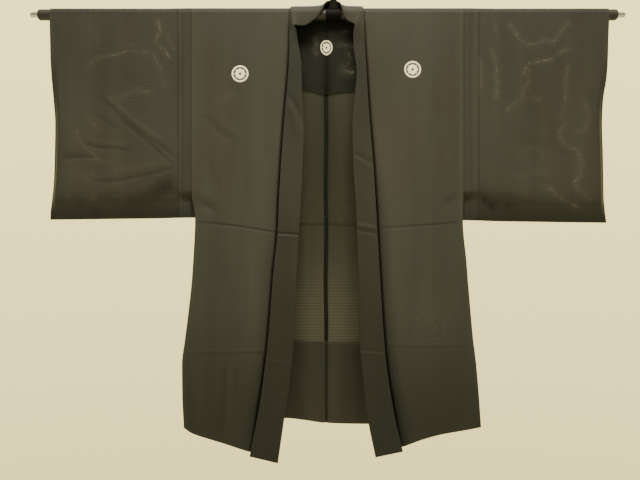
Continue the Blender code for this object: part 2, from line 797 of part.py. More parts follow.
def hook(finish):
    """Neck and hook as one bar of rectangular section with chamfered edges."""
    stations = hook_path()
    bm = bmesh.new()
    rings = []
    for i, (x, z, half) in enumerate(stations):
        before = stations[max(i - 1, 0)]
        after = stations[min(i + 1, len(stations) - 1)]
        along = Vector((after[0] - before[0], 0, after[1] - before[1])).normalized()
        across = Vector((along.z, 0, -along.x))
        section = chamfered_corners(half, HOOK_DEPTH / 2, HOOK_CHAMFER)
        ring = [bm.verts.new((Vector((x, 0, z)) + across * w + Vector((0, y, 0))) * MM)
                for w, y in section]
        rings.append(ring)
    for first, second in zip(rings, rings[1:]):
        for k in range(len(first)):
            following = (k + 1) % len(first)
            bm.faces.new((first[k], first[following], second[following], second[k]))
    bm.faces.new(rings[0])
    bm.faces.new(rings[-1])
    bmesh.ops.recalc_face_normals(bm, faces=bm.faces)
    return new_object("hook", bm, finish)


def main():
    for old in list(bpy.data.objects):
        bpy.data.objects.remove(old, do_unlink=True)
    silk = material("black silk gauze", (0.045, 0.040, 0.026), 0.75)
    lining = material("doubled silk gauze", (0.026, 0.022, 0.015), 0.80)
    moulding = material("black moulded plastic", (0.012, 0.011, 0.011), 0.35)
    lacquer = material("black painted tube", (0.015, 0.014, 0.014), 0.30)
    steel = material("bright plated steel", (0.70, 0.68, 0.64), 0.20, 1.0)

    body_length("body_left", LEFT, silk)
    body_length("body_right", RIGHT, silk)
    sleeve("sleeve_left", LEFT, silk)
    sleeve("sleeve_right", RIGHT, silk)
    gusset("gusset_left", LEFT, silk)
    gusset("gusset_right", RIGHT, silk)
    yoke("yoke", lining)
    collar("collar", silk)
    rod(lacquer)
    rod_end("rod_end_left", LEFT, steel)
    rod_end("rod_end_right", RIGHT, steel)
    saddle(moulding)
    hook(moulding)


main()
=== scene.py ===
"""Looks of a haori jacket of black silk gauze on its rod hanger.

Cloth sizes are in millimetres, in the same cloth coordinates as the solids:
    x     distance from the centre back seam, positive to the right
    s     distance along the cloth from the top line of the rod, negative in front
    lift  distance outwards from the layer in which the body lengths lie
A drop is a height below the rod's axis, positive downwards. Arrays of such numbers go through
the same functions as single numbers. A piece's UV map is its cloth laid flat, in metres.
"""

import math

import bmesh
import bpy
import numpy as np
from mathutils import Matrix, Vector


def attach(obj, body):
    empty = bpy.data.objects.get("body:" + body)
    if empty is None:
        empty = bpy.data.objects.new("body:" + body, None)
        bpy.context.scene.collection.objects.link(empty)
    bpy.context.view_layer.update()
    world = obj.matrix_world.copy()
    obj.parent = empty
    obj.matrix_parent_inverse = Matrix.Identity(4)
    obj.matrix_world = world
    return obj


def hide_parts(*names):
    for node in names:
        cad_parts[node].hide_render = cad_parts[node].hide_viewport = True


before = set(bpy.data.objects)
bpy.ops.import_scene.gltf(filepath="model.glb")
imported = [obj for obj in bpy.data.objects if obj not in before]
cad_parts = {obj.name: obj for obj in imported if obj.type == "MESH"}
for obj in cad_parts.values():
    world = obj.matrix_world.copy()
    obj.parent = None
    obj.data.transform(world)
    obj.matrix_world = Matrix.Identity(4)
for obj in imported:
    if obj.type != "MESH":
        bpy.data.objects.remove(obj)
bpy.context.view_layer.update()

MM = 0.001
LEFT, RIGHT = -1, 1

# ---------------------------------------------------------------------------
# Driving sizes
# ---------------------------------------------------------------------------

ROD_RADIUS = 12.5
ROD_DROP = 115.0          # from the seat of the hook to the rod's axis
GARMENT_SHIFT = -16.0     # centre back seam, measured from the hook's own line
LAYER_RADIUS = 14.7       # middle of the body's cloth where it lies over the rod
QUARTER = LAYER_RADIUS * math.pi / 2

CLOTH_WALL = 0.5          # gauze, with the little air that it holds
BAND_WALL = 1.0
SEAM_GAP = 0.06           # between two cloths that are sewn edge to edge

NECK_HALF_WIDTH = 86.0
NECK_SEAM_S = 22.0
ARMHOLE_X = {LEFT: 307.7, RIGHT: 312.0}
ARMHOLE_DROP = 415.0
CUFF_DROP = 245.0
TURN_UP_HEIGHT = 188.0
TURN_UP_RADIUS = 1.0
TURN_UP_INSET = 6.0
GUSSET_TOP_DROP = 412.0
GUSSET_BOTTOM_DROP = 937.0
GUSSET_FOLD_IN = 9.0
YOKE_LIFT = -1.3
YOKE_SLACK = 1.3
YOKE_HALF_WIDTH = 304.0
YOKE_NAPE_S = 27.0
BAND_FOLD_RADIUS = 1.2
BAND_FREE_LIFT = 3.8      # of the band's free edge, off the layer of the fronts
BAND_NECK_LIFT = 0.7
BAND_NECK_BULGE = 0.3
BAND_TOP_LEVEL = 0.066    # share of a front's length where the sections round the neck take over
SEWN_DEPTH = 0.4          # half the depth of a sleeve where its two layers are sewn together
ALLOWANCE_WIDTH = {LEFT: 31.0, RIGHT: 36.0}   # cloth pressed back inside a sleeve at the armhole
ALLOWANCE_DEPTH = 0.75    # from a cloth's middle to the middle of the cloth pressed back inside it
OVER_ROD = (-9.0, 8.0)    # drops between which the cloth leaves the top of the rod
TURN_UP_TOP = (752.0, 764.0)   # drops between which the back's turned-up hem begins
BACK_FOLD_DROP = 481.0    # where the back was folded across for storage
CENTRE_SEAM_DROPS = (24.0, 757.0)   # ends of the seam's allowance, above the turned-up hem
SHUT_CUFF_LEVELS = (8.0, 215.0)     # heights above a sleeve's bottom of the sewn part of its edge
OPEN_CUFF_LEVELS = (235.0, 450.0)   # and of the stitched hem of the open part


def table(columns, *rows):
    """A short table: a dictionary from each column's name to its list of values."""
    return {name: [row[i] for row in rows] for i, name in enumerate(columns.split())}


# Edges at each drop, measured outwards from the centre back line, at the left and at the right.
# fold: the band's folded inner edge, free: its free outer edge, seam: where it joins the front
BAND = {
    LEFT: table(
        "drop   fold   free   seam",
        (52,    68.5,  84.0,  85.7),
        (80,    63.0,  84.5,  85.0),
        (119,   57.0,  86.0,  83.0),
        (173,   56.0,  90.0,  82.0),
        (262,   52.0,  97.5,  80.0),
        (420,   57.3,  107.5, 84.0),
        (504,   62.5,  111.0, 89.0),
        (590,   67.0,  120.0, 93.0),
        (745,   73.6,  132.0, 100.0),
        (852,   85.0,  145.0, 111.0),
        (912,   94.5,  154.5, 121.0),
        (1017,  109.5, 175.5, 137.5)),
    RIGHT: table(
        "drop   fold   free   seam",
        (52,    60.5,  85.5,  85.7),
        (83,    62.0,  87.5,  85.0),
        (137,   68.5,  91.0,  84.0),
        (182,   64.5,  93.5,  84.0),
        (255,   58.5,  98.5,  83.0),
        (348,   60.7,  106.0, 87.0),
        (443,   66.5,  111.7, 92.0),
        (630,   72.3,  122.0, 98.0),
        (742,   74.2,  129.0, 101.0),
        (812,   80.0,  136.0, 107.0),
        (912,   91.5,  152.0, 118.0),
        (1004,  109.5, 173.5, 136.5)),
}
BESIDE_BAND_SHADE = {LEFT: 0.24, RIGHT: 0.44}   # painted shadow on the fronts beside the band's free edge
BAND_SHADE = table(
    "drop   unfaded",     # how dark the band is at each drop: its tone and painted shade
    (0,     0.37),
    (24,    0.45),
    (60,    0.76),
    (110,   0.80),
    (173,   0.72),
    (242,   0.56),
    (311,   0.41),
    (420,   0.34),
    (500,   0.44),
    (590,   0.48),
    (656,   0.55),
    (794,   0.61),
    (1010,  0.72))
BAND_FREE_RATIO = {LEFT: 0.985, RIGHT: 0.987}   # the band's lower end slopes up to its free edge

# The body's side seams, and the hems of its two fronts
BODY_SIDE = {
    LEFT: table(
        "drop   x",
        (0,     307.6),
        (415,   307.6),
        (440,   303.0),
        (472,   299.8),
        (563,   303.6),
        (618,   307.2),
        (690,   314.7),
        (744,   321.2),
        (798,   327.2),
        (870,   326.0),
        (941,   322.0)),
    RIGHT: table(
        "drop   x",
        (0,     311.9),
        (415,   311.9),
        (440,   311.2),
        (477,   311.0),
        (563,   318.2),
        (618,   322.2),
        (690,   327.8),
        (744,   332.3),
        (798,   338.5),
        (870,   344.1),
        (941,   348.4)),
}
FRONT_HEM = {
    LEFT: table(
        "x      drop",
        (111,   1009),
        (137,   1003),
        (174,   992),
        (226,   975.5),
        (281,   961),
        (308,   951),
        (322,   941)),
    RIGHT: table(
        "x      drop",
        (110,   997),
        (136,   991),
        (173,   980),
        (214,   965),
        (255,   955),
        (296,   949),
        (348,   940)),
}
# These run right across the back, so x is negative at the left
BACK_HEM = table(
    "x       drop",
    (-322,   939),
    (-96,    940),
    (-50,    945),
    (0,      952),
    (95,     954),
    (348,    941))
YOKE_EDGE = table(
    "x       drop",
    (-304,   166),
    (-57,    169),
    (0,      179),
    (43,     174),
    (304,    168))

# How far the cloth stands out from the rod's plane, at three places across each panel
FRONT_DEPTH = table(
    "drop   edge   middle  side",
    (0,     14.7,  14.7,   14.7),
    (100,   16.0,  15.5,   14.7),
    (250,   19.0,  17.5,   14.4),
    (415,   24.0,  22.0,   13.2),
    (600,   30.0,  29.0,   17.5),
    (800,   38.0,  37.0,   26.0),
    (1012,  46.0,  44.0,   34.0))
BACK_DEPTH = table(
    "drop   edge   middle  side",
    (0,     14.7,  14.7,   14.7),
    (100,   17.0,  16.0,   14.7),
    (250,   21.5,  19.5,   14.4),
    (415,   28.0,  25.5,   13.2),
    (600,   37.0,  33.0,   17.5),
    (800,   46.5,  42.0,   26.0),
    (952,   53.0,  48.0,   32.5))
FRONT_EDGE_X = 60.0       # where the edge column of FRONT_DEPTH holds

# Soft standing folds of the hanging cloth, each along a line straight down at x. It starts at one
# drop, is full at the next and has died away by the last. A negative rise is a trough.
FRONT_FOLDS = table(
    "x       width  rise   start  full   end",
    (-205,   30,    4.0,   260,   760,   1100),
    (-272,   26,    -3.5,  480,   860,   1100),
    (215,    34,    3.5,   300,   700,   1100),
    (285,    28,    -3.5,  440,   840,   1100),
    (240,    16,    -1.5,  120,   300,   700))
BACK_FOLDS = table(
    "x       width  rise   start  full   end",
    (0,      13,    6.0,   20,    200,   1100),
    (-52,    20,    -4.5,  110,   420,   1100),
    (46,     20,    -4.0,  110,   380,   1100),
    (-120,   32,    3.5,   200,   640,   1100),
    (118,    34,    3.0,   240,   600,   1100),
    (-235,   34,    -4.0,  380,   820,   1100),
    (228,    36,    -4.0,  420,   860,   1100))

# The sleeves' outer edges and bottoms, with x measured outwards
SLEEVE_OUTER = {
    LEFT: table(
        "drop   x",
        (0,     632.0),
        (89,    630.0),
        (143,   628.4),
        (198,   626.0),
        (253,   623.7),
        (326,   624.8),
        (381,   626.6),
        (417,   629.8),
        (454,   634.2),
        (471,   635.2)),
    RIGHT: table(
        "drop   x",
        (0,     645.2),
        (52,    643.0),
        (143,   640.2),
        (198,   634.6),
        (253,   633.6),
        (326,   635.6),
        (417,   637.2),
        (454,   640.2),
        (478,   643.6)),
}
SLEEVE_BOTTOM = {
    LEFT: table(
        "x      drop",
        (302,   466.0),
        (405,   468.0),
        (636,   471.0)),
    RIGHT: table(
        "x      drop",
        (312,   472.0),
        (398,   474.5),
        (644,   478.0)),
}
SLEEVE_DEPTH = table(
    "above  depth",       # above: height above the sleeve's bottom
    (0,     0.0),
    (1.2,   1.4),
    (6,     3.4),
    (18,    7.4),
    (34,    13.0),
    (50,    18.0),
    (66,    19.6),
    (90,    19.0),
    (150,   16.0),
    (260,   14.4),
    (380,   13.9),
    (470,   13.8))
SLEEVE_FOLDS = table(
    "x       width  rise   start  full   end",
    (-380,   34,    2.5,   90,    300,   440),
    (-520,   46,    -3.0,  40,    240,   430),
    (-585,   26,    2.0,   120,   300,   440),
    (385,    38,    2.5,   110,   320,   440),
    (500,    50,    -3.0,  60,    260,   430),
    (590,    28,    2.0,   140,   330,   440))
THREAD_RADIUS = 0.22
STITCH_LIFT = 0.36        # from a cloth's middle to the middle of a thread that lies on it
SHUT_EDGE_CLEARANCE = 0.3   # from the body's side to the sleeve's shut inner edge

# The collar band round the neck, in cloth coordinates, from the left shoulder to the right
NECK_BAND = table(
    "seam_x seam_s  fold_x fold_s fold_lift  free_x free_s free_lift",
    (-85.2,  -62,   -69,   -64,   6.0,       -84.5, -66,   4.0),
    (-85.2,  -44,   -73,   -55,   9.0,       -83.5, -46,   4.4),
    (-85.2,  -24,   -71.5, -52.5, 8.0,       -82,   -25,   4.4),
    (-85.2,  -4,    -65,   -53,   6.0,       -80.5, -6,    4.0),
    (-84,    14,    -57,   -53.5, 5.0,       -76,   4,     3.8),
    (-72,    21.7,  -47,   -52,   4.8,       -64,   8,     3.8),
    (-54,    21.7,  -37,   -46,   4.8,       -47,   12,    3.8),
    (-36,    21.7,  -27,   -38,   5.0,       -31,   17,    4.0),
    (-22,    21.7,  -18,   -29,   6.0,       -19,   23,    4.4),
    (-11,    21.7,  -10,   -19,   8.5,       -10,   29,    4.8),
    (-2,     21.7,  -3,    -9,    13.0,      -2,    34,    5.2),
    (6,      21.7,  5,     -1,    19.0,      6,     38,    5.4),
    (12,     21.7,  11,    3.5,   24.0,      11,    40,    5.4),
    (17,     21.7,  17,    4.5,   26.0,      17,    41,    5.4),
    (22,     21.7,  23,    3.5,   23.5,      22,    40,    5.4),
    (28,     21.7,  28,    -1,    16.5,      28,    38,    5.4),
    (36,     21.7,  33,    -13,   10.0,      35,    31,    5.2),
    (46,     21.7,  39,    -30,   6.5,       45,    20,    4.6),
    (58,     21.7,  46,    -40,   5.0,       56,    14,    4.2),
    (72,     21.7,  55,    -46,   5.0,       68,    9,     4.0),
    (84,     14,    61,    -48.5, 5.6,       78,    4,     4.0),
    (85.2,   -4,    63.5,  -50,   6.6,       82,    -6,    4.2),
    (85.2,   -24,   64,    -53,   7.2,       83.5,  -25,   4.4),
    (85.2,   -44,   62.5,  -58,   6.8,       85,    -46,   4.4),
    (85.2,   -62,   61,    -68,   5.0,       85.8,  -66,   4.0))

# ---------------------------------------------------------------------------
# Creases and marks of this one garment
# ---------------------------------------------------------------------------

# Creases, each along a line that bows sideways by bow at its middle. width is that of the
# crease's own soft section, and a negative rise is a trough.
FRONT_CREASES = table(
    "x0    drop0  x1    drop1  bow   width  rise",
    (-304, 476,   -104, 503,   3,    2.6,   -0.40),   # pressed across both fronts in storage
    (-296, 482,   -108, 508,   3,    4,     0.25),
    (120,  490,   312,  476,   -2,   2.6,   -0.30),
    (124,  496,   310,  482,   -2,   4,     0.15),
    (-322, 770,   -112, 766,   2,    2.8,   0.4),     # along the turned-up hem's top
    (-322, 777,   -112, 773,   2,    4,     -0.3),
    (124,  750,   344,  753,   -1,   2.8,   0.35),
    (124,  757,   344,  760,   -1,   4,     -0.3),
    (-206, 800,   -212, 880,   2,    3.4,   -0.5),
    (-288, 236,   -258, 246,   2,    7,     -0.5),
    (-262, 246,   -216, 292,   -6,   9,     -0.9),
    (-250, 236,   -200, 280,   -5,   10,    0.6),
    (-306, 400,   -262, 446,   -6,   10,    -2.2),    # soft folds from the armhole's lower end
    (-304, 424,   -250, 452,   -4,   9,     -1.4),
    (-300, 384,   -268, 420,   -6,   9,     1.0),
    (306,  404,   266,  440,   6,    10,    -1.6),
    (304,  386,   272,  416,   6,    9,     0.9),
    (-290, 330,   -250, 420,   8,    14,    -0.9),
    (-196, 300,   -170, 470,   -6,   16,    -0.8),
    (-240, 560,   -262, 700,   8,    12,    -1.0),
    (-180, 560,   -172, 740,   5,    11,    0.8),
    (-232, 790,   -240, 960,   4,    9,     -1.5),
    (-222, 800,   -226, 960,   3,    8,     1.0),
    (-296, 790,   -290, 960,   3,    10,    1.0),
    (250,  200,   285,  330,   6,    16,    -0.8),
    (180,  230,   170,  420,   5,    16,    0.7),
    (200,  560,   210,  720,   -5,   14,    -0.9),
    (262,  600,   292,  730,   4,    14,    0.8),
    (196,  800,   222,  950,   5,    10,    -1.2),
    (270,  780,   300,  930,   -4,   12,    -1.0))
BACK_CREASES = table(
    "x0    drop0  x1    drop1  bow   width  rise",
    (0,    0,     0,    1200,  0,    3.4,   4.5),     # the centre seam's groove
    (-300, 474,   -4,   482,   3,    3.0,   -1.1),
    (4,    482,   306,  478,   -3,   3.0,   -1.1),
    (-300, 482,   306,  490,   3,    5,     0.5),
    (-318, 757,   340,  762,   2,    3.2,   -0.6),
    (-30,  150,   -34,  700,   4,    9,     -1.4),
    (27,   150,   30,   720,   -3,   9,     -1.2),
    (-96,  240,   -88,  640,   6,    14,    1.0),
    (84,   220,   92,   620,   -5,   14,    0.8),
    (-210, 180,   -160, 330,   10,   18,    -1.3),
    (190,  160,   150,  320,   -8,   18,    -1.1),
    (-270, 500,   -250, 690,   6,    14,    -1.2),
    (262,  520,   250,  700,   -6,   16,    -1.0),
    (-140, 780,   -160, 930,   4,    11,    -1.3),
    (120,  790,   140,  940,   -4,   12,    -1.2))
SLEEVE_CREASES = {
    LEFT: table(
        "x0    drop0  x1    drop1  bow   width  rise",
        (-310, -100,  -310, 520,   0,    1.8,   -0.9),    # beside the armhole: seam and allowance
        (-329, -100,  -329, 520,   0,    1.8,   -0.8),
        (-333, -100,  -333, 520,   0,    2.4,   0.5),
        (-341, -100,  -339, 520,   1,    1.8,   -1.0),
        (-514, 194,   -338, 334,   -4,   5.0,   -0.74),
        (-500, 190,   -362, 300,   -6,   5.5,   0.66),
        (-492, 214,   -340, 346,   3,    5,     0.56),
        (-480, 236,   -346, 348,   2,    4.5,   -0.66),
        (-540, 218,   -470, 268,   -3,   5,     -0.40),
        (-556, 296,   -486, 309,   -4,   3.2,   -0.85),
        (-500, 308,   -450, 316,   3,    3.2,   -0.8),
        (-548, 288,   -456, 302,   -3,   7,     0.48),
        (-604, 333,   -510, 331,   3,    3.4,   -0.6),
        (-604, 341,   -508, 340,   3,    6,     0.48),
        (-530, 382,   -440, 376,   -5,   4.0,   -0.8),
        (-452, 378,   -342, 350,   -3,   4.0,   -0.95),
        (-500, 368,   -350, 338,   -3,   8,     0.54),
        (-530, 424,   -460, 402,   -3,   4.5,   -0.54),
        (-470, 406,   -396, 374,   -2,   4.5,   -0.66),
        (-500, 414,   -410, 384,   -3,   7,     0.48),
        (-560, 360,   -490, 356,   2,    5,     -0.3),
        (-410, 424,   -322, 428,   6,    22,    -5.0),    # the hollow by the armhole's lower end
        (-352, 392,   -336, 448,   2,    9,     -0.96),
        (-590, 400,   -560, 460,   4,    9,     -0.6),
        (-544, 440,   -520, 462,   2,    5,     -0.48),
        (-604, 60,    -606, 220,   4,    10,    -0.42)),
    RIGHT: table(
        "x0    drop0  x1    drop1  bow   width  rise",
        (314,  -100,  314,  520,   0,    1.8,   -0.9),    # beside the armhole: seam and allowance
        (328,  -100,  329,  520,   0,    1.8,   -0.7),
        (341,  -100,  340,  520,   0,    2.4,   0.5),
        (348,  -100,  346,  520,   1,    1.8,   -1.0),
        (328,  412,   388,  460,   6,    8,     -2.4),
        (356,  404,   404,  446,   4,    7,     0.6),
        (394,  414,   468,  440,   3,    7,     -0.78),
        (330,  436,   420,  446,   4,    20,    -3.5),
        (600,  180,   634,  226,   -4,   7,     -0.6),
        (460,  300,   560,  330,   6,    9,     -0.42),
        (420,  350,   500,  392,   -6,   8,     -0.48),
        (440,  336,   520,  376,   -6,   9,     0.36),
        (350,  300,   372,  396,   6,    10,    -0.48),
        (590,  330,   600,  450,   -4,   9,     -0.54)),
}
# The same on the sleeves' backs, which hang alike but not the same
SLEEVE_BACK_CREASES = {
    LEFT: table(
        "x0    drop0  x1    drop1  bow   width  rise",
        (-310, -100,  -310, 520,   0,    1.8,   -0.9),
        (-341, -100,  -339, 520,   1,    2.6,   -0.7),
        (-500, 216,   -342, 340,   5,    6,     -0.72),
        (-486, 204,   -336, 322,   5,    8,     0.52),
        (-580, 310,   -480, 322,   4,    5,     -0.65),
        (-540, 396,   -380, 362,   -5,   5,     -0.72),
        (-540, 384,   -380, 350,   -5,   8,     0.52),
        (-420, 430,   -330, 436,   5,    20,    -3.5),
        (-600, 250,   -560, 290,   3,    8,     -0.52)),
    RIGHT: table(
        "x0    drop0  x1    drop1  bow   width  rise",
        (314,  -100,  314,  520,   0,    1.8,   -0.9),
        (349,  -100,  347,  520,   1,    2.6,   -0.7),
        (340,  330,   480,  238,   5,    6,     -0.72),
        (346,  344,   486,  252,   5,    8,     0.52),
        (380,  420,   520,  396,   4,    5,     -0.72),
        (330,  438,   410,  442,   4,    18,    -3.0),
        (500,  330,   600,  318,   -4,   5,     -0.65),
        (560,  400,   610,  440,   4,    8,     -0.52)),
}
# Creases across the folded band, which shift both its layers
BAND_CREASES = table(
    "x0    drop0  x1    drop1  bow   width  rise",
    (-88,  186,   -54,  262,   4,    7,     -1.3),
    (-94,  200,   -64,  280,   4,    8,     0.8),
    (-114, 503,   -58,  506,   1,    3.0,   -0.7),
    (-114, 510,   -58,  513,   1,    4,     0.6),
    (-134, 785,   -66,  788,   1,    3.4,   -0.3),
    (-134, 791,   -66,  794,   1,    4,     0.2),
    (60,   322,   108,  350,   2,    4.5,   -0.9),
    (60,   332,   108,  360,   2,    6,     0.6),
    (62,   484,   116,  494,   1,    5.0,   1.3),
    (62,   495,   116,  505,   1,    3.4,   -0.7),
    (70,   764,   132,  771,   1,    3.4,   -0.8),
    (70,   770,   132,  777,   1,    4,     0.5))

# Painted shade along the creases where the garment was folded for storage: darker lines. rise is the
# share to black.
PRESSED_LINES = table(
    "x0    drop0  x1    drop1  bow   width  rise",
    (-304, 475,   -104, 502,   3,    2.2,   0.45),
    (120,  489,   312,  475,   -2,   2.2,   0.36),
    (-114, 502,   -58,  505,   1,    2.6,   0.45))

# Pale tide marks that old damp has left, as lines on the cloth: (half width, strength, points)
SLEEVE_MARKS = {
    LEFT: (
        (3.0, 0.23, ((-542, 21), (-537, 48), (-542, 80))),
        (3.0, 0.27, ((-521, 39), (-524, 71))),
        (3.2, 0.47, ((-542, 118), (-517, 100), (-480, 96), (-457, 87), (-426, 89), (-398, 91))),
        (3.2, 0.39, ((-398, 91), (-387, 112), (-380, 121), (-376, 148), (-369, 166))),
        (2.8, 0.70, ((-384, 18), (-378, 43), (-387, 57), (-389, 68), (-371, 84), (-357, 102))),
        (2.6, 0.39, ((-362, 52), (-350, 82))),
        (3.2, 0.47, ((-490, 194), (-471, 194), (-444, 178), (-403, 180))),
        (3.0, 0.27, ((-545, 239), (-522, 262))),
        (3.2, 0.39, ((-568, 266), (-563, 289), (-549, 308), (-522, 330))),
        (7.0, 0.27, ((-551, 376), (-546, 380))),
        (6.0, 0.27, ((-534, 420), (-526, 426))),
        (11.0, 0.27, ((-455, 72), (-446, 76)))),
    RIGHT: (
        (2.8, 0.80, ((416, 25), (430, 41), (439, 59), (457, 71), (473, 71), (498, 62))),
        (2.8, 0.70, ((498, 62), (519, 66), (535, 41), (548, 25))),
        (9.0, 0.20, ((452, 66), (470, 76))),
        (2.6, 0.65, ((548, 82), (533, 89), (526, 96))),
        (2.8, 0.75, ((514, 105), (480, 112), (462, 114), (455, 125), (448, 139), (462, 153))),
        (8.0, 0.22, ((460, 124), (456, 142))),
        (4.5, 0.40, ((462, 153), (448, 178), (448, 191))),
        (3.0, 0.50, ((448, 191), (435, 200), (410, 221))),
        (3.4, 0.45, ((476, 194), (485, 198))),
        (2.6, 0.60, ((373, 82), (380, 93), (387, 114), (387, 146), (391, 164), (385, 191))),
        (2.6, 0.35, ((384, 27), (384, 37))),
        (2.6, 0.40, ((339, 66), (339, 77))),
        (2.8, 0.40, ((350, 107), (352, 148), (350, 178))),
        (2.8, 0.45, ((551, 116), (546, 146), (544, 205), (535, 230), (542, 253))),
        (3.0, 0.60, ((542, 253), (529, 276), (542, 301), (572, 314), (581, 342), (577, 371))),
        (3.0, 0.55, ((577, 371), (561, 387), (582, 408), (600, 426))),
        (2.8, 0.65, ((506, 399), (525, 417), (547, 431), (573, 442))),
        (2.8, 0.28, ((589, 199), (598, 236), (589, 267), (569, 273))),
        (2.6, 0.20, ((437, 330), (440, 316), (462, 308), (484, 311), (494, 331))),
        (4.0, 0.22, ((444, 372), (470, 370), (494, 364)))),
}
# Painted shadows of the folds near the sleeves' lower ends, which turn the cloth by a share to its
# darkest black: (x, drop, radius, share)
SLEEVE_SHADOWS = {
    LEFT: ((-360, 386, 18, 0.50), (-376, 402, 18, 0.38), (-402, 416, 20, 0.32),
           (-436, 426, 22, 0.24), (-590, 326, 12, 0.24), (-570, 327, 12, 0.26),
           (-550, 329, 10, 0.22), (-532, 332, 8, 0.14)),
    RIGHT: ((362, 412, 16, 0.34), (386, 424, 16, 0.28), (420, 436, 18, 0.22)),
}
SLEEVE_BACK_MARKS = {
    LEFT: (
        (3.2, 0.50, ((-560, 60), (-520, 88), (-470, 80), (-430, 104), (-420, 150))),
        (3.0, 0.40, ((-380, 60), (-372, 110), (-390, 160)))),
    RIGHT: (
        (3.2, 0.50, ((400, 60), (440, 96), (500, 90), (530, 130), (520, 190))),
        (3.0, 0.40, ((570, 220), (584, 280), (566, 330)))),
}
FRONT_MARKS = {
    LEFT: ((3.0, 0.30, ((-251, 205), (-228, 191), (-208, 184))),),
    RIGHT: (
        (2.2, 0.28, ((203, 690), (203, 742), (266, 742), (266, 700))),
        (2.0, 0.18, ((214, 682), (256, 682))),
        (4.0, 0.34, ((240, 694), (246, 712), (238, 730))),
        (14.0, 0.09, ((232, 700), (238, 726)))),
}
YOKE_MARKS = (
    (2.6, 0.9, ((-26, 50), (-22, 62), (-28, 74), (-24, 86))),
    (2.6, 1.0, ((30, 66), (38, 62), (46, 68), (54, 65), (62, 70))),
    (5.0, 1.0, ((43, 122), (52, 130), (62, 128))),
    (3.0, 0.7, ((40, 36), (56, 32))),
    (3.0, 0.5, ((48, 82), (56, 96), (52, 110))),
)

# White roundels left in the dye, in the usual places of a formal jacket: (x, drop)
ROUNDEL_RADIUS = 19.0     # 1 sun across
FRONT_ROUNDELS = {LEFT: (-197.0, 139.0), RIGHT: (196.0, 129.0)}
NAPE_ROUNDEL_DROP = 71.0  # at the centre back seam, outside and inside the yoke
NAPE_ROUNDEL_RADIUS = 17.0
SLEEVE_ROUNDEL = {LEFT: (-470.0, 86.0), RIGHT: (478.0, 86.0)}   # on the backs

# ---------------------------------------------------------------------------
# Patterns and colours of the gauze
# ---------------------------------------------------------------------------

ROW_PITCH = 7.2           # mm from one line of the gauze's openings to the next, drawn twice
                          # as coarse as real so that the rows show from a step away
THREAD_PITCH = 0.5        # mm between weft threads, drawn twice as coarse as real
SLUB_LENGTH = 14.0        # mm along a weft thread from one thicker place to the next
PATCH_SIZE = 220.0        # mm across one browner or greener patch
STREAK_SIZE = (33.0, 33.0, 330.0)   # mm of one paler streak, which runs down the hanging cloth
RAGGED_SIZE = 10.5        # mm from turn to turn of a tide mark's ragged line
SPECKLE_SIZE = 3.85       # mm from dot to dot along it
ROW_LIGHT = 0.42          # how far an opening turns to ROW_GREY where the rows show most
LAPPED_DARKNESS = 0.14    # painted shade: how far cloth with an allowance behind it turns to LAPPED_BLACK
SEE_THROUGH = 0.092       # share of light through one face of the cloth between the openings
OPENING = 0.046           # what an opening adds to that where the rows show most

BROWN_BLACK = "#302c24"
GREEN_BLACK = "#2d2e26"
# The paler black: its own paler tone in slubs and streaks, and painted light where a front bulges and
# where the back hangs as one layer
PALE_BLACK = "#41433a"
# The black of cloth with an allowance behind it: painted shade for the light the allowance keeps from
# coming through
LAPPED_BLACK = "#252820"
# The darkest black: the cloth's own darker tone, and painted shade in hollows, creases, crevices, towards
# hems and over the rod
DEEP_BLACK = "#11160f"
ROW_GREY = "#5c5d51"         # the lines of openings, where light catches their threads
TIDE_MARK = "#605e54"
ROUNDEL_WHITE = "#f4ebcf"

# ---------------------------------------------------------------------------
# The hanger's sizes, and the view
# ---------------------------------------------------------------------------

ROD_ENDS = {LEFT: -662.5, RIGHT: 668.0}
ROD_BEVEL = 3.0
PIN_RADIUS = 6.3
PIN_LENGTH = 17.0
SEAT_GAP = 0.3
SADDLE_RADIUS = 13.6
SADDLE_LENGTH = 36.0
HOOK_DEPTH = 8.0
HOOK_BAR_HALF = 4.5
HOOK_INNER_RADIUS = 20.0
HOOK_START_ANGLE = -40
HOOK_END_ANGLE = 200
HOOK_TIP = ((0.5, 0.9), (1.4, 1.6), (2.6, 2.0))   # its sections: how far drawn in, how far on
HOOK_SQUARENESS = 0.45    # power that squares the bar's round section: 1 is round, 0 is square
HOOK_SEGMENTS = 28        # steps round the hook's bar
TURNED_SEGMENTS = 64      # steps round a turned piece
NECK_PROFILE = table(
    "rise   half",        # rise: height above the rod's axis, half: half the neck's width
    (SADDLE_RADIUS + SEAT_GAP, 12.0),
    (18,    11.0),
    (23,    9.0),
    (30,    7.9),
    (46,    7.8),
    (56,    6.0))

CAMERA_PLACE = (-0.03095, -1.6, -0.6327)   # in metres, as are the floor's sizes
VIEW_HALF_WIDTH = 320     # pixels from the middle of the view to its side
VIEW_DISTANCE = 695.65    # from the camera to the rod, in pixels of 2.3 mm there
CAMERA_ANGLE = 2 * math.atan(VIEW_HALF_WIDTH / VIEW_DISTANCE)
FLOOR_DROP = 1.85         # metres below the hook's seat
FLOOR_RADIUS = 6.0
FLOOR_BACK = 1.6          # metres behind the jacket to the floor's edge
# Brightness of the surroundings, in linear light
WALL_ABOVE = (2.5, 2.1, 0.82)
WALL_BELOW = (1.75, 1.45, 0.57)
ROOM_BEHIND = (0.40, 0.385, 0.30)
FLOOR_GLOW = (0.60, 0.54, 0.36)


# ---------------------------------------------------------------------------
# Smooth readings
# ---------------------------------------------------------------------------

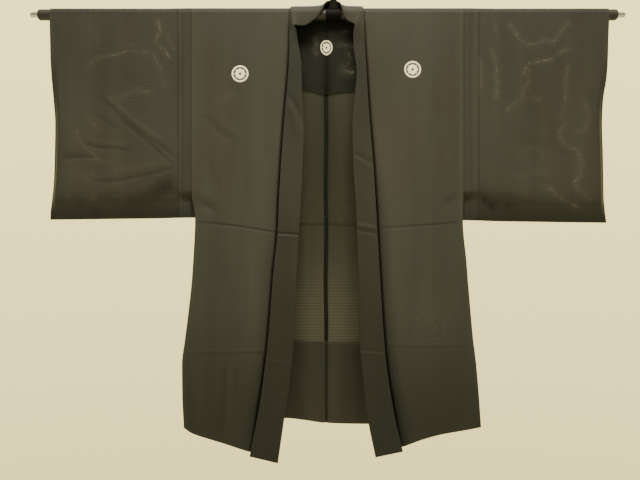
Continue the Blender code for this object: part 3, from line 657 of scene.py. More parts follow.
def reading(source, key, value, column):
    """Smooth values of a column where the key column holds the values, with no overshoot."""
    xs, ys = np.array(source[key], float), np.array(source[column], float)
    value = np.clip(value, xs[0], xs[-1])
    steps = np.diff(ys) / np.diff(xs)
    before, after = steps[:-1], steps[1:]
    both = np.where(before * after > 0, before + after, 1.0)
    inner = np.where(before * after > 0, 2 * before * after / both, 0.0)
    slopes = np.concatenate((steps[:1], inner, steps[-1:]))
    i = np.clip(np.searchsorted(xs, value, side="right") - 1, 0, len(xs) - 2)
    width = xs[i + 1] - xs[i]
    t = (value - xs[i]) / width
    rise = 3 * t * t - 2 * t ** 3
    return (ys[i] * (1 - rise) + ys[i + 1] * rise
            + width * slopes[i] * (t ** 3 - 2 * t * t + t)
            + width * slopes[i + 1] * (t ** 3 - t * t))


def ease(start, end, value):
    """0 before start, 1 after end, and a smooth step between them."""
    t = np.clip((value - start) / (end - start), 0.0, 1.0)
    return t * t * (3 - 2 * t)


def graded(count, edge_share=0.5):
    """Steps from 0 to 1 that are finer towards both ends."""
    t = np.linspace(0.0, 1.0, count + 1)
    return t * (1 - edge_share) + (0.5 - 0.5 * np.cos(np.pi * t)) * edge_share


def crowded(count):
    """Steps from 0 to 1 that are finest from 0.05 to 0.25, where a front passes under the band."""
    t = np.linspace(0.0, 1.0, count + 1)
    return np.interp(t, (0, 0.08, 0.50, 0.94, 1), (0, 0.05, 0.25, 0.96, 1))


def stacked(*parts):
    """Numbers and arrays brought to one shape and stacked along a new last axis."""
    return np.stack(np.broadcast_arrays(*parts), axis=-1)


def fold_rise(folds, x, drop):
    """Sum of the standing folds."""
    total = 0.0
    for centre, width, rise, start, full, end in zip(*folds.values()):
        fade = 1 - ease(full, end, drop)
        total = total + rise * np.exp(-((x - centre) / width) ** 2) * ease(start, full, drop) * fade
    return total


def crease_rise(creases, x, drop):
    """Sum of the creases."""
    total = 0.0
    for x0, drop0, x1, drop1, bow, width, rise in zip(*creases.values()):
        along_x, along_drop = x1 - x0, drop1 - drop0
        length = math.hypot(along_x, along_drop)
        t = ((x - x0) * along_x + (drop - drop0) * along_drop) / length ** 2
        bend = bow * 4 * np.clip(t, 0, 1) * (1 - np.clip(t, 0, 1))
        off = ((x - x0) * along_drop - (drop - drop0) * along_x) / length - bend
        ends = ease(-0.10, 0.22, t) * (1 - ease(0.78, 1.10, t))
        total = total + rise * np.exp(-(off / width) ** 2) * ends
    return total


def crease_shade(creases, x, drop):
    """Painted shade in each trough, and a little painted light on each ridge: how much darker or
    lighter the colour is there. Narrow creases have all of it, and wide ones show mostly by their shape."""
    weights = [min(1.0, (6.0 / width) ** 4) for width in creases["width"]]
    rises = [rise * weight for rise, weight in zip(creases["rise"], weights)]
    return np.clip(-0.35 * crease_rise(dict(creases, rise=rises), x, drop), -0.12, 0.30)


def mark_field(marks, x, drop):
    """How far each point is from the nearest tide mark, in that mark's half widths, and how
    strong that mark is."""
    nearest, strongest = np.full(x.shape, 99.0), np.zeros(x.shape)
    for half_width, strength, points in marks:
        for (x0, drop0), (x1, drop1) in zip(points, points[1:]):
            along_x, along_drop = x1 - x0, drop1 - drop0
            t = ((x - x0) * along_x + (drop - drop0) * along_drop) / (along_x ** 2 + along_drop ** 2)
            t = np.clip(t, 0, 1)
            away = np.hypot(x - x0 - t * along_x, drop - drop0 - t * along_drop) / half_width
            strongest = np.where(away < nearest, strength, strongest)
            nearest = np.minimum(nearest, away)
    return np.minimum(nearest, 6.0), strongest


# ---------------------------------------------------------------------------
# Where the hanging cloth lies
# ---------------------------------------------------------------------------

def across_panel(depths, drop, t):
    """Depth between a panel's edge (t = 0) and its side (t = 1)."""
    edge, middle, side = (reading(depths, "drop", drop, name) for name in ("edge", "middle", "side"))
    t = np.clip(t, 0.0, 1.0)
    return edge * (1 - t) * (1 - 2 * t) + middle * 4 * t * (1 - t) + side * t * (2 * t - 1)


def body_depth(x, drop, front):
    """Distance of the body's cloth from the rod's plane, in front or behind."""
    side_x = np.where(x < 0, reading(BODY_SIDE[LEFT], "drop", drop, "x"),
                      reading(BODY_SIDE[RIGHT], "drop", drop, "x"))
    edge_x = FRONT_EDGE_X if front else 0.0
    t = (abs(x) - edge_x) / (side_x - edge_x)
    level = across_panel(FRONT_DEPTH if front else BACK_DEPTH, drop, t)
    folds = fold_rise(FRONT_FOLDS if front else BACK_FOLDS, x, drop)
    creases = crease_rise(FRONT_CREASES if front else BACK_CREASES, x, drop)
    return level + (folds + creases) * (1 - ease(0.82, 1.0, t)) * ease(0, 30, drop)


def hung(x, s, lift):
    """World positions, in millimetres, of points in cloth coordinates."""
    x, s, lift = np.broadcast_arrays(np.asarray(x, float), s, lift)
    drop = np.maximum(np.abs(s) - QUARTER, 0.0)
    angle = np.clip(s / LAYER_RADIUS, -math.pi / 2, math.pi / 2)
    radius = LAYER_RADIUS + lift
    depth = np.where(s < 0, body_depth(x, drop, True), body_depth(x, drop, False)) + lift
    on_rod = np.abs(s) <= QUARTER
    y = np.where(on_rod, radius * np.sin(angle), np.sign(s) * depth)
    z = np.where(on_rod, radius * np.cos(angle), -drop)
    return stacked(x + GARMENT_SHIFT, y, z - ROD_DROP)


def x_and_drop(points):
    """The x and the drop of each of an array of world positions in millimetres."""
    return points[..., 0] - GARMENT_SHIFT, -points[..., 2] - ROD_DROP


def beside_band(side, x, drop):
    """How far a front sinks away under the band's free edge: a narrow crevice in a soft dip."""
    away = x - reading(BAND[side], "drop", drop, "free")
    crevice = np.exp(-((away + 1.0) / np.where(away < -1.0, 7.0, 4.5)) ** 2)
    dip = np.exp(-((away - 2.0) / np.where(away < 2.0, 10.0, 24.0)) ** 2)
    deepening = ease(20, 220, drop)
    widening = ease(780, 960, drop)
    fade = ease(12, 50, drop) * (1 - 0.8 * ease(890, 985, drop))
    return ((4.0 + 8.0 * deepening) * crevice + (1.0 + 2.5 * deepening + 4.0 * widening) * dip) * fade


def hem_drop(side, x, front):
    """Drop of the hem at a distance x from the centre back line."""
    if front:
        return reading(FRONT_HEM[side], "x", x, "drop")
    return reading(BACK_HEM, "x", side * np.asarray(x), "drop")


def s_at(drop, front):
    """Distance along the cloth to a drop, in front of the rod or behind it."""
    return -(QUARTER + drop) if front else QUARTER + drop


# ---------------------------------------------------------------------------
# Meshes
# ---------------------------------------------------------------------------

def link(name, mesh):
    """Put a mesh into the scene as an object."""
    made = bpy.data.objects.new(name, mesh)
    bpy.context.scene.collection.objects.link(made)
    return made


def faces_outwards(mesh):
    """Turn all faces of a sheet to the same side, or of a closed shape outwards."""
    bm = bmesh.new()
    bm.from_mesh(mesh)
    bmesh.ops.recalc_face_normals(bm, faces=bm.faces)
    bm.to_mesh(mesh)
    bm.free()


def evaluated_mesh(made, name):
    """The object's mesh with its modifiers applied."""
    depsgraph = bpy.context.evaluated_depsgraph_get()
    mesh = bpy.data.meshes.new_from_object(made.evaluated_get(depsgraph))
    mesh.name = name
    return mesh


def sheet_mesh(name, points, flat, keep=None, closed=False, **shades):
    """A sheet through rows of points. flat holds its cloth laid flat, as u and v in metres.

    keep is an array of the grid's cells that are cloth, closed joins the last row to the first,
    and each of the shades is a number or an array that becomes an attribute of its name.
    """
    rows, columns = points.shape[:2]
    number = np.arange(rows * columns).reshape(rows, columns)
    if closed:
        number = np.vstack((number, number[:1]))
    cells = np.stack((number[:-1, :-1], number[:-1, 1:], number[1:, 1:], number[1:, :-1]), axis=-1)
    if keep is not None:
        cells = cells[keep]
    cells = cells.reshape(-1, 4)
    used, corners = np.unique(cells, return_inverse=True)
    corners = corners.reshape(-1, 4)
    mesh = bpy.data.meshes.new(name)
    mesh.from_pydata((points.reshape(-1, 3)[used] * MM).tolist(), [], corners.tolist())
    uv = mesh.uv_layers.new(name="cloth")
    uv.data.foreach_set("uv", flat.reshape(-1, 2)[used][corners.ravel()].astype(np.float32).ravel())
    for shade, values in shades.items():
        layer = mesh.attributes.new(shade, "FLOAT", "POINT")
        values = np.broadcast_to(values, (rows, columns)).reshape(-1)[used]
        layer.data.foreach_set("value", values.astype(np.float32))
    return mesh


def cloth(name, mesh, wall, finish):
    """A thin shell of cloth, half its wall on each side of the sheet."""
    faces_outwards(mesh)
    made = link(name, mesh)
    solid = made.modifiers.new("wall", "SOLIDIFY")
    solid.thickness = wall * MM
    solid.offset = 0.0
    solid.use_even_offset = True
    solid.use_quality_normals = True
    walled = evaluated_mesh(made, name)
    made.modifiers.remove(solid)
    made.data = walled
    walled.shade_smooth()
    walled.set_sharp_from_angle(angle=math.radians(50))
    walled.materials.clear()
    walled.materials.append(finish)
    return made


def belongs(made, slot, *nodes):
    """The piece rides on the one body and stands for these nodes; slot is not used."""
    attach(made, "root")
    if nodes:
        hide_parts(*nodes)
    return made


# ---------------------------------------------------------------------------
# Finishes
# ---------------------------------------------------------------------------

def linear(hex_colour):
    """Linear colour with alpha from an sRGB hex value."""
    values = [int(hex_colour[i:i + 2], 16) / 255 for i in (1, 3, 5)]
    return (*(v / 12.92 if v <= 0.04045 else ((v + 0.055) / 1.055) ** 2.4 for v in values), 1.0)


def per_metre(size):
    """How many of a pattern's marks fit in a metre, from the size of one in millimetres."""
    return 1 / (size * MM)


def add(tree, kind, inputs=(), out=0, **settings):
    """Add a node and give its output. inputs lists values or other nodes' outputs in the order
    of its sockets, or maps the names or numbers of sockets to them."""
    node = tree.nodes.new(kind)
    for name, value in settings.items():
        setattr(node, name, value)
    for key, value in (inputs if isinstance(inputs, dict) else dict(enumerate(inputs))).items():
        if isinstance(value, bpy.types.NodeSocket):
            tree.links.new(value, node.inputs[key])
        else:
            node.inputs[key].default_value = value
    return node.outputs[out] if len(node.outputs) else node


def new_finish(name, colour, roughness):
    """A new material, its node tree and its shader."""
    finish = bpy.data.materials.new(name)
    finish.use_nodes = True
    shader = finish.node_tree.nodes["Principled BSDF"]
    shader.inputs["Base Color"].default_value = linear(colour)
    shader.inputs["Roughness"].default_value = roughness
    return finish, finish.node_tree, shader


def tide_marks(tree, place):
    """Share of the pale tide marks: thin, ragged lines with a faint halo, broken into dots."""
    away = add(tree, "ShaderNodeAttribute", attribute_name="tide_away", out="Fac")
    strength = add(tree, "ShaderNodeAttribute", attribute_name="tide_strength", out="Fac")
    ragged = add(tree, "ShaderNodeTexNoise", {"Vector": place, "Scale": per_metre(RAGGED_SIZE),
                                              "Detail": 4.0, "Roughness": 0.65})
    shifted = add(tree, "ShaderNodeMath", [ragged, 3.8, away], operation="MULTIPLY_ADD")
    line = add(tree, "ShaderNodeMapRange", [shifted, 1.7, 3.0, 1.0, 0.0])
    speckle = add(tree, "ShaderNodeTexNoise",
                  {"Vector": place, "Scale": per_metre(SPECKLE_SIZE), "Detail": 3.0})
    broken = add(tree, "ShaderNodeMapRange", [speckle, 0.40, 0.60, 0.12, 1.0])
    dotted = add(tree, "ShaderNodeMath", [line, broken], operation="MULTIPLY")
    halo = add(tree, "ShaderNodeMapRange", [shifted, 2.0, 6.0, 0.16, 0.0])
    share = add(tree, "ShaderNodeMath", [dotted, halo], operation="MAXIMUM")
    return add(tree, "ShaderNodeMath", [share, strength], operation="MULTIPLY")


def roundel(tree, flat, u, v, radius, squeeze):
    """A plain white roundel: a ring round a rosette of eight lobes with a dark eye.

    Gives how white the cloth is and how far the paste has closed its openings.
    """
    size = radius * MM
    to_unit = (1 / (size * squeeze), 1 / size, 1)
    placed = add(tree, "ShaderNodeMapping", {"Vector": flat, "Location": (-u, -v, 0)})
    placed = add(tree, "ShaderNodeMapping", {"Vector": placed, "Scale": to_unit})
    radius = add(tree, "ShaderNodeVectorMath", [placed], out="Value", operation="LENGTH")
    parts = add(tree, "ShaderNodeSeparateXYZ", [placed]).node.outputs
    turn = add(tree, "ShaderNodeMath", [parts[1], parts[0]], operation="ARCTAN2")
    turn = add(tree, "ShaderNodeMath", [turn, 8.0], operation="MULTIPLY")
    lobes = add(tree, "ShaderNodeMath", [turn], operation="COSINE")
    rosette = add(tree, "ShaderNodeMath", [lobes, 0.05, 0.61], operation="MULTIPLY_ADD")
    inside = []
    for edge in (1.0, 0.80, rosette, 0.15):
        beyond = add(tree, "ShaderNodeMath", [radius, edge], operation="SUBTRACT")
        inside.append(add(tree, "ShaderNodeMapRange", [beyond, -0.03, 0.03, 1.0, 0.0]))
    disc, hollow, flower, eye = inside
    ring = add(tree, "ShaderNodeMath", [disc, hollow], operation="SUBTRACT")
    petals = add(tree, "ShaderNodeMath", [flower, eye], operation="SUBTRACT")
    white = add(tree, "ShaderNodeMath", [ring, petals], operation="MAXIMUM")
    return white, disc


def gauze(name, see_through=SEE_THROUGH, gleam=1.0, roundels=(), radius=ROUNDEL_RADIUS, squeeze=1.0):
    """Ro gauze: black silk with lines of small openings, matt across the threads, with a dull
    sheen where it turns away, browned and greened by age, paler along old tide marks, and with painted
    shade and light from its attributes.

    roundels lists their centres on the flat cloth, and squeeze narrows them where it hangs curved.
    """
    finish, tree, shader = new_finish(name, BROWN_BLACK, 0.62)
    flat = add(tree, "ShaderNodeUVMap", uv_map="cloth")
    place = add(tree, "ShaderNodeTexCoord", out="Object")
    rows, lapped_shade, lit_and_faded, unfaded, thick = (
        add(tree, "ShaderNodeAttribute", attribute_name=shade, out="Fac")
        for shade in ("rows", "lapped_shade", "fade_and_light", "unfaded", "thick"))

    # Openings in lines across the length of the cloth
    along = add(tree, "ShaderNodeSeparateXYZ", [flat], out=1)
    row_angle = 2 * math.pi * per_metre(ROW_PITCH)
    turns = add(tree, "ShaderNodeMath", [along, row_angle], operation="MULTIPLY")
    wave = add(tree, "ShaderNodeMath", [turns], operation="SINE")
    row = add(tree, "ShaderNodeMapRange", [wave, -1.0, 1.0])
    opened = add(tree, "ShaderNodeMath", [row, 2.0], operation="POWER")
    openings = add(tree, "ShaderNodeMath", [opened, rows], operation="MULTIPLY")

    # Patches, streaks and slubs, which the colours and the relief follow
    patches = add(tree, "ShaderNodeTexNoise",
                  {"Vector": place, "Scale": per_metre(PATCH_SIZE), "Detail": 2.0})
    streaks = tuple(map(per_metre, STREAK_SIZE))
    hanging = add(tree, "ShaderNodeMapping", {"Vector": place, "Scale": streaks})
    pale_streaks = add(tree, "ShaderNodeTexNoise", {"Vector": hanging, "Scale": 1.0, "Detail": 4.0})
    woven = (per_metre(SLUB_LENGTH), per_metre(THREAD_PITCH), 1.0)
    threads = add(tree, "ShaderNodeMapping", {"Vector": flat, "Scale": woven})
    slubs = add(tree, "ShaderNodeTexNoise", {"Vector": threads, "Scale": 1.0, "Detail": 2.0})

    # How far the black turns: its own tone and marks, and painted shade and light from the attributes
    green = add(tree, "ShaderNodeMapRange", [patches, 0.38, 0.62])
    fade_and_light = add(tree, "ShaderNodeMapRange", [pale_streaks, 0.35, 0.70, 0.0, 0.30])
    fade_and_light = add(tree, "ShaderNodeMath", [fade_and_light, lit_and_faded], operation="ADD")
    fuzzy = add(tree, "ShaderNodeMapRange", [slubs, 0.3, 0.7, 0.0, 0.10])
    lit_rows = add(tree, "ShaderNodeMath", [openings, ROW_LIGHT], operation="MULTIPLY")
    darker = add(tree, "ShaderNodeMath", [lapped_shade, LAPPED_DARKNESS], operation="MULTIPLY")
    # Each share turns the colour so far towards another
    colour = linear(BROWN_BLACK)
    for share, other in ((green, GREEN_BLACK), (fade_and_light, PALE_BLACK), (fuzzy, PALE_BLACK),
                         (lit_rows, ROW_GREY), (unfaded, DEEP_BLACK), (darker, LAPPED_BLACK),
                         (tide_marks(tree, place), TIDE_MARK)):
        colour = add(tree, "ShaderNodeMix", {0: share, 6: colour, 7: linear(other)},
                     out=2, data_type="RGBA")

    # Light comes through one layer, and more of it through the openings
    opening = OPENING * see_through / SEE_THROUGH
    sheer = add(tree, "ShaderNodeMath", [openings, opening, see_through], operation="MULTIPLY_ADD")
    single = add(tree, "ShaderNodeMath", [1.0, thick], operation="SUBTRACT")
    sheer = add(tree, "ShaderNodeMath", [sheer, single], operation="MULTIPLY")
    opacity = add(tree, "ShaderNodeMath", [1.0, sheer], operation="SUBTRACT")
    for u, v in roundels:
        white, paste = roundel(tree, flat, u, v, radius, squeeze)
        colour = add(tree, "ShaderNodeMix", {0: white, 6: colour, 7: linear(ROUNDEL_WHITE)},
                     out=2, data_type="RGBA")
        opacity = add(tree, "ShaderNodeMath", [opacity, paste], operation="MAXIMUM")
    tree.links.new(colour, shader.inputs["Base Color"])
    tree.links.new(opacity, shader.inputs["Alpha"])

    relief = add(tree, "ShaderNodeMath", [openings, -1.0, slubs], operation="MULTIPLY_ADD")
    bump = add(tree, "ShaderNodeBump", {"Height": relief, "Strength": 0.08, "Distance": 0.0002})
    tree.links.new(bump, shader.inputs["Normal"])
    shader.inputs["Specular IOR Level"].default_value = 0.3 * gleam
    shader.inputs["Sheen Weight"].default_value = 0.08 * gleam
    shader.inputs["Sheen Roughness"].default_value = 0.4
    shader.inputs["Sheen Tint"].default_value = linear("#b9b19a")
    return finish


def black_thread():
    """Silk sewing thread: black with a round soft gleam, its two plies showing as light flecks,
    which are drawn 1.1 mm apart, some three times as coarse as real."""
    finish, tree, shader = new_finish("black silk thread", "#1d1b16", 0.5)
    place = add(tree, "ShaderNodeTexCoord", out="Object")
    plies = add(tree, "ShaderNodeTexNoise", {"Vector": place, "Scale": per_metre(1.1), "Detail": 1.0})
    colour = add(tree, "ShaderNodeMix", {0: plies, 6: linear("#15130f"), 7: linear("#35322a")},
                 out=2, data_type="RGBA")
    tree.links.new(colour, shader.inputs["Base Color"])
    shader.inputs["Sheen Weight"].default_value = 0.1
    return finish


def painted_tube():
    """Steel tube in black paint: smooth, with a faint waviness every 6 mm, rubbed paler in fine
    lengthwise lines where cloth slides, 40 mm long and 1.1 mm wide."""
    finish, tree, shader = new_finish("black painted steel tube", "#26221f", 0.5)
    shader.inputs["Specular IOR Level"].default_value = 0.45
    place = add(tree, "ShaderNodeTexCoord", out="Object")
    lengthwise = tuple(map(per_metre, (40.0, 1.1, 1.1)))
    stretched = add(tree, "ShaderNodeMapping", {"Vector": place, "Scale": lengthwise})
    rubbed = add(tree, "ShaderNodeTexNoise", {"Vector": stretched, "Scale": 1.0, "Detail": 3.0})
    share = add(tree, "ShaderNodeMapRange", [rubbed, 0.55, 0.75, 0.0, 0.5])
    colour = add(tree, "ShaderNodeMix", {0: share, 6: linear("#26221f"), 7: linear("#35302a")},
                 out=2, data_type="RGBA")
    tree.links.new(colour, shader.inputs["Base Color"])
    rough = add(tree, "ShaderNodeMapRange", [rubbed, 0.3, 0.8, 0.44, 0.60])
    tree.links.new(rough, shader.inputs["Roughness"])
    wavy = add(tree, "ShaderNodeTexNoise", {"Vector": place, "Scale": per_metre(6.0), "Detail": 2.0})
    bump = add(tree, "ShaderNodeBump", {"Height": wavy, "Strength": 0.15, "Distance": 0.0002})
    tree.links.new(bump, shader.inputs["Normal"])
    return finish


def plated_steel():
    """Bright plated steel: a sharp mirror with fine rings where the pin slides in and out. They
    are drawn 0.25 mm apart, coarser than real scratches, which are too fine to show."""
    finish, tree, shader = new_finish("bright plated steel", "#cfcbc2", 0.2)
    shader.inputs["Metallic"].default_value = 1.0
    place = add(tree, "ShaderNodeTexCoord", out="Object")
    crosswise = tuple(map(per_metre, (0.25, 25.0, 25.0)))
    rings = add(tree, "ShaderNodeMapping", {"Vector": place, "Scale": crosswise})
    drawn = add(tree, "ShaderNodeTexNoise", {"Vector": rings, "Scale": 1.0, "Detail": 2.0})
    rough = add(tree, "ShaderNodeMapRange", [drawn, 0.3, 0.7, 0.14, 0.3])
    tree.links.new(rough, shader.inputs["Roughness"])
    return finish


def moulded_plastic():
    """Moulded black plastic: satin, duller in handled patches 17 mm across, with the mould's
    eroded grain, drawn 0.7 mm across and so some three times as coarse as real."""
    finish, tree, shader = new_finish("black moulded plastic", "#0d0c0b", 0.6)
    shader.inputs["Specular IOR Level"].default_value = 0.06
    place = add(tree, "ShaderNodeTexCoord", out="Object")
    handled = add(tree, "ShaderNodeTexNoise", {"Vector": place, "Scale": per_metre(17.0), "Detail": 3.0})
    colour = add(tree, "ShaderNodeMix", {0: handled, 6: linear("#0b0a09"), 7: linear("#14120f")},
                 out=2, data_type="RGBA")
    tree.links.new(colour, shader.inputs["Base Color"])
    rough = add(tree, "ShaderNodeMapRange", [handled, 0.3, 0.7, 0.52, 0.68])
    tree.links.new(rough, shader.inputs["Roughness"])
    grain = add(tree, "ShaderNodeTexNoise", {"Vector": place, "Scale": per_metre(0.7), "Detail": 2.0})
    bump = add(tree, "ShaderNodeBump", {"Height": grain, "Strength": 0.2, "Distance": 0.0001})
    tree.links.new(bump, shader.inputs["Normal"])
    return finish


# ---------------------------------------------------------------------------
# The jacket's cloth
# ---------------------------------------------------------------------------

# Columns of a body length: across half the neck, and from there to the side
NECK_COLUMNS = 22
ACROSS_NECK = graded(NECK_COLUMNS)[None, :]
ACROSS_PANEL = crowded(62)[None, :]

# Rows of a body length, finer along the storage crease and the top of the turned-up hem
LEVELS_DOWN = np.unique(np.concatenate((np.linspace(0.0, 1.0, 190), np.linspace(0.485, 0.535, 26),
                                        np.linspace(0.765, 0.805, 20))).round(5))


def body_column(side, drops, front, inset=0.0):
    """Distances from the centre of one row's columns: neck, then across to the side. drops holds
    the row's drop where it meets the neck or the band's seam, and its drop at the side."""
    inner_drop, outer_drop = drops
    outer = reading(BODY_SIDE[side], "drop", outer_drop, "x") - inset
    inner = NECK_HALF_WIDTH
    if front:
        inner = reading(BAND[side], "drop", inner_drop, "seam") + SEAM_GAP
    nape = SEAM_GAP + (NECK_HALF_WIDTH - SEAM_GAP) * ACROSS_NECK[:, :-1]
    return np.concatenate((nape, inner + (outer - inner) * ACROSS_PANEL), axis=1)


def body_panel(side, front):
    """Rows of a front or a back, from the turn-up's top round the hem and up to the rod. Each is x,
    drop, lift, and the drop that its cloth would have with the turn-up let down."""
    band_end = hem_drop(side, BAND[side]["seam"][-1], True)
    hem_ends = (np.full((1, 1), band_end), np.full((1, 1), BODY_SIDE[side]["drop"][-1]))
    hem = hem_drop(side, body_column(side, hem_ends, front), front)

    def row(near, drop, lift, along, inset=0.0):
        """A row with the columns and the crevice beside the band that the drop near has."""
        x = body_column(side, (near[:, [NECK_COLUMNS]], near[:, [-1]]), front, inset)
        crevice = beside_band(side, x, near) if front else 0.0
        return x, drop, lift - crevice, along

    rows = []
    for height in np.linspace(TURN_UP_HEIGHT, TURN_UP_RADIUS, 44):
        inset = TURN_UP_INSET * ease(0, 60, height)
        rows.append(row(hem - height, hem - height, -2 * TURN_UP_RADIUS, hem + height, inset))
    for a in np.radians((30, 60, 90, 120, 150)):
        above, inside = 1 - math.sin(a), 1 + math.cos(a)
        rows.append(row(hem, hem - TURN_UP_RADIUS * above, -TURN_UP_RADIUS * inside, hem))
    for level in LEVELS_DOWN[::-1]:
        drop = (hem - TURN_UP_RADIUS) * level
        rows.append(row(drop, drop, 0.0, drop))
    return rows


def front_shade_and_light(side, x, drop):
    """How dark a front is painted, and how much paler: mostly painted shade and light, with some tone."""
    past_band = side * x - reading(BAND[side], "drop", drop, "free")
    reach = 8 + 10 * ease(250, 560, drop)
    beside = BESIDE_BAND_SHADE[side] * np.exp(-((past_band - 3) / reach) ** 2)
    # Painted shade: darker near the top, in a shadow beside the band's free edge, towards the hem and the
    # side, in a line along that edge, in the creases and along the storage crease; besides, darker from
    # drop 300 to 960
    unfaded = (0.24 * (1 - ease(60, 330, drop))
               + beside * ease(180, 420, drop)
               + 0.58 * ease(640, 960, drop)
               + 0.08 * ease(90, 330, side * x)
               + np.exp(-(past_band / 2.6) ** 2)
               + crease_shade(FRONT_CREASES, x, drop)
               + crease_rise(PRESSED_LINES, x, drop)
               + 0.18 * ease(300, 560, drop) * (1 - ease(700, 960, drop)))
    # bulge: painted light where the front bulges beside the band; greener: a paler, greener tone down the
    # middle drops
    bulge = np.exp(-((past_band - 30) / 26) ** 2)
    bulge = bulge * ease(160, 420, drop) * (1 - ease(640, 860, drop))
    greener = ease(300, 560, drop) * (1 - 0.5 * ease(800, 960, drop))
    return unfaded, 0.10 + 0.14 * bulge + 0.30 * greener


def back_single(drop):
    """How far the back hangs as a single layer: from well below the yoke to the turned-up hem."""
    return ease(480, 620, drop) * (1 - ease(*TURN_UP_TOP, drop))


def back_shade_and_light(x, drop):
    """The same for the back: painted shade inside its upper part, along the centre seam, along the
    storage fold and in the creases, and painted light where a single layer hangs.
    """
    unfaded = (0.84 - 0.68 * ease(300, 700, drop)
               + np.exp(-(x / 2.0) ** 2)
               + 0.45 * np.exp(-((drop - BACK_FOLD_DROP) / 4.0) ** 2)
               + crease_shade(BACK_CREASES, x, drop))
    return unfaded, 0.46 * back_single(drop)


def body_shades(side, points):
    """Attributes of a body length's finish, for each of its points."""
    x, drop = x_and_drop(points)
    in_front = points[..., 1] < 0
    away, strength = mark_field(FRONT_MARKS[side], x, drop)
    shades_and_lights = zip(front_shade_and_light(side, x, drop), back_shade_and_light(x, drop))
    unfaded, fade_and_light = (np.where(in_front, *pair) for pair in shades_and_lights)
    # Painted shade over the top of the rod, where the light falls most
    over_rod = 0.45 * (1 - ease(*OVER_ROD, drop))
    back_rows = (0.14 + 0.86 * ease(540, 690, drop)) * (1 - ease(*TURN_UP_TOP, drop))
    to_side = reading(BODY_SIDE[side], "drop", drop, "x") - side * x
    to_hem = np.where(in_front, hem_drop(side, side * x, True), hem_drop(side, side * x, False)) - drop
    thick = 1 - np.minimum(ease(5, 12, to_side), ease(4, 9, to_hem))
    return {"tide_away": away,
            "tide_strength": strength * in_front,
            "unfaded": np.clip(unfaded + over_rod, 0.0, 1.0),
            "fade_and_light": fade_and_light,
            "rows": np.where(in_front, 0.11, back_rows),
            "thick": np.maximum(thick, np.where(in_front, 0.0, 0.16 * back_single(drop)))}


def body_cloth(side, name, finish):
    """One body length with its turn-ups: front hem, front, shoulder, back and back hem."""
    rows = [(x, s_at(drop, True), lift, s_at(along[0], True))
            for x, drop, lift, along in body_panel(side, True)]
    at_rod = (np.zeros((1, 1)), np.zeros((1, 1)))
    front_x, back_x = (body_column(side, at_rod, front) for front in (True, False))
    over = np.linspace(-QUARTER, QUARTER, 19)[1:-1]
    over = np.sort(np.append(over[np.abs(over - NECK_SEAM_S) > 1.0], NECK_SEAM_S))
    first_back = len(rows) + int(np.searchsorted(over, NECK_SEAM_S))
    for s in over:
        share = ease(-QUARTER, QUARTER, s)
        rows.append((front_x * (1 - share) + back_x * share, s, 0.0, s))
    rows += [(x, s_at(drop, False), lift, s_at(along[0], False))
             for x, drop, lift, along in body_panel(side, False)[-2::-1]]
    points = np.array([hung(side * x, s, lift)[0] for x, s, lift, along in rows])
    flats = np.array([stacked(x[0], along) * MM for x, s, lift, along in rows])
    keep = np.ones((points.shape[0] - 1, points.shape[1] - 1), bool)
    keep[:first_back, :NECK_COLUMNS] = False
    mesh = sheet_mesh(name, points, flats, keep, **body_shades(side, points))
    return cloth(name, mesh, CLOTH_WALL, finish)


def sleeve_depth(side, x, drop, level, t, front):
    """Half the depth of a sleeve's pouch, with its creases."""
    depth = reading(SLEEVE_DEPTH, "above", level, "depth")
    depth = depth + fold_rise(SLEEVE_FOLDS, side * x, drop)
    creases = SLEEVE_CREASES if front else SLEEVE_BACK_CREASES
    hanging = ease(10, 60, drop) * ease(2, 26, level)
    depth = depth + crease_rise(creases[side], side * x, drop) * hanging
    at_body = reading(FRONT_DEPTH, "drop", drop, "side")
    depth = depth + (at_body - depth) * (1 - ease(0.0, 0.22, t))
    sewn = np.minimum(SEWN_DEPTH, reading(SLEEVE_DEPTH, "above", level, "depth"))
    inner_shut = ease(ARMHOLE_DROP - 10, ARMHOLE_DROP + 14, drop) * (1 - ease(0.0, 0.11, t)) ** 0.5
    outer_shut = ease(CUFF_DROP - 150, CUFF_DROP, drop) * ease(0.95, 1.0, t) ** 1.2
    shut = np.maximum(inner_shut, outer_shut)
    return depth + (sewn - depth) * shut


def sleeve_panel(side, front, levels, t, inside=0.0):
    """Points of a sleeve's front or back, a row for each level above its bottom, and their cloth
    laid flat. t is a row of places between the armhole and the cuff, and inside moves it inwards.
    """
    armhole = ARMHOLE_X[side] + SEAM_GAP

    def inner_x(drop):
        shut = ease(ARMHOLE_DROP - 4, ARMHOLE_DROP + 6, drop)
        beside_body = reading(BODY_SIDE[side], "drop", drop, "x") + SHUT_EDGE_CLEARANCE
        return armhole + (beside_body - armhole) * shut

    def outer_x(drop):
        return reading(SLEEVE_OUTER[side], "drop", drop, "x")

    bottom = reading(SLEEVE_BOTTOM[side], "x", armhole + (outer_x(0.0) - armhole) * t, "drop")
    height = np.asarray(levels, float)[:, None]
    height = height * np.where(height > 20, bottom / bottom.min(), 1.0)
    drop = bottom - height
    x = inner_x(drop) + (outer_x(drop) - inner_x(drop)) * t
    depth = sleeve_depth(side, x, drop, height, t, front) - inside
    depth = np.maximum(depth, 0.1 * (height > 0))
    y = -depth if front else depth
    along = (QUARTER + drop) * (-1 if front else 1)
    return stacked(side * x + GARMENT_SHIFT, y, -drop - ROD_DROP), stacked(x, along) * MM


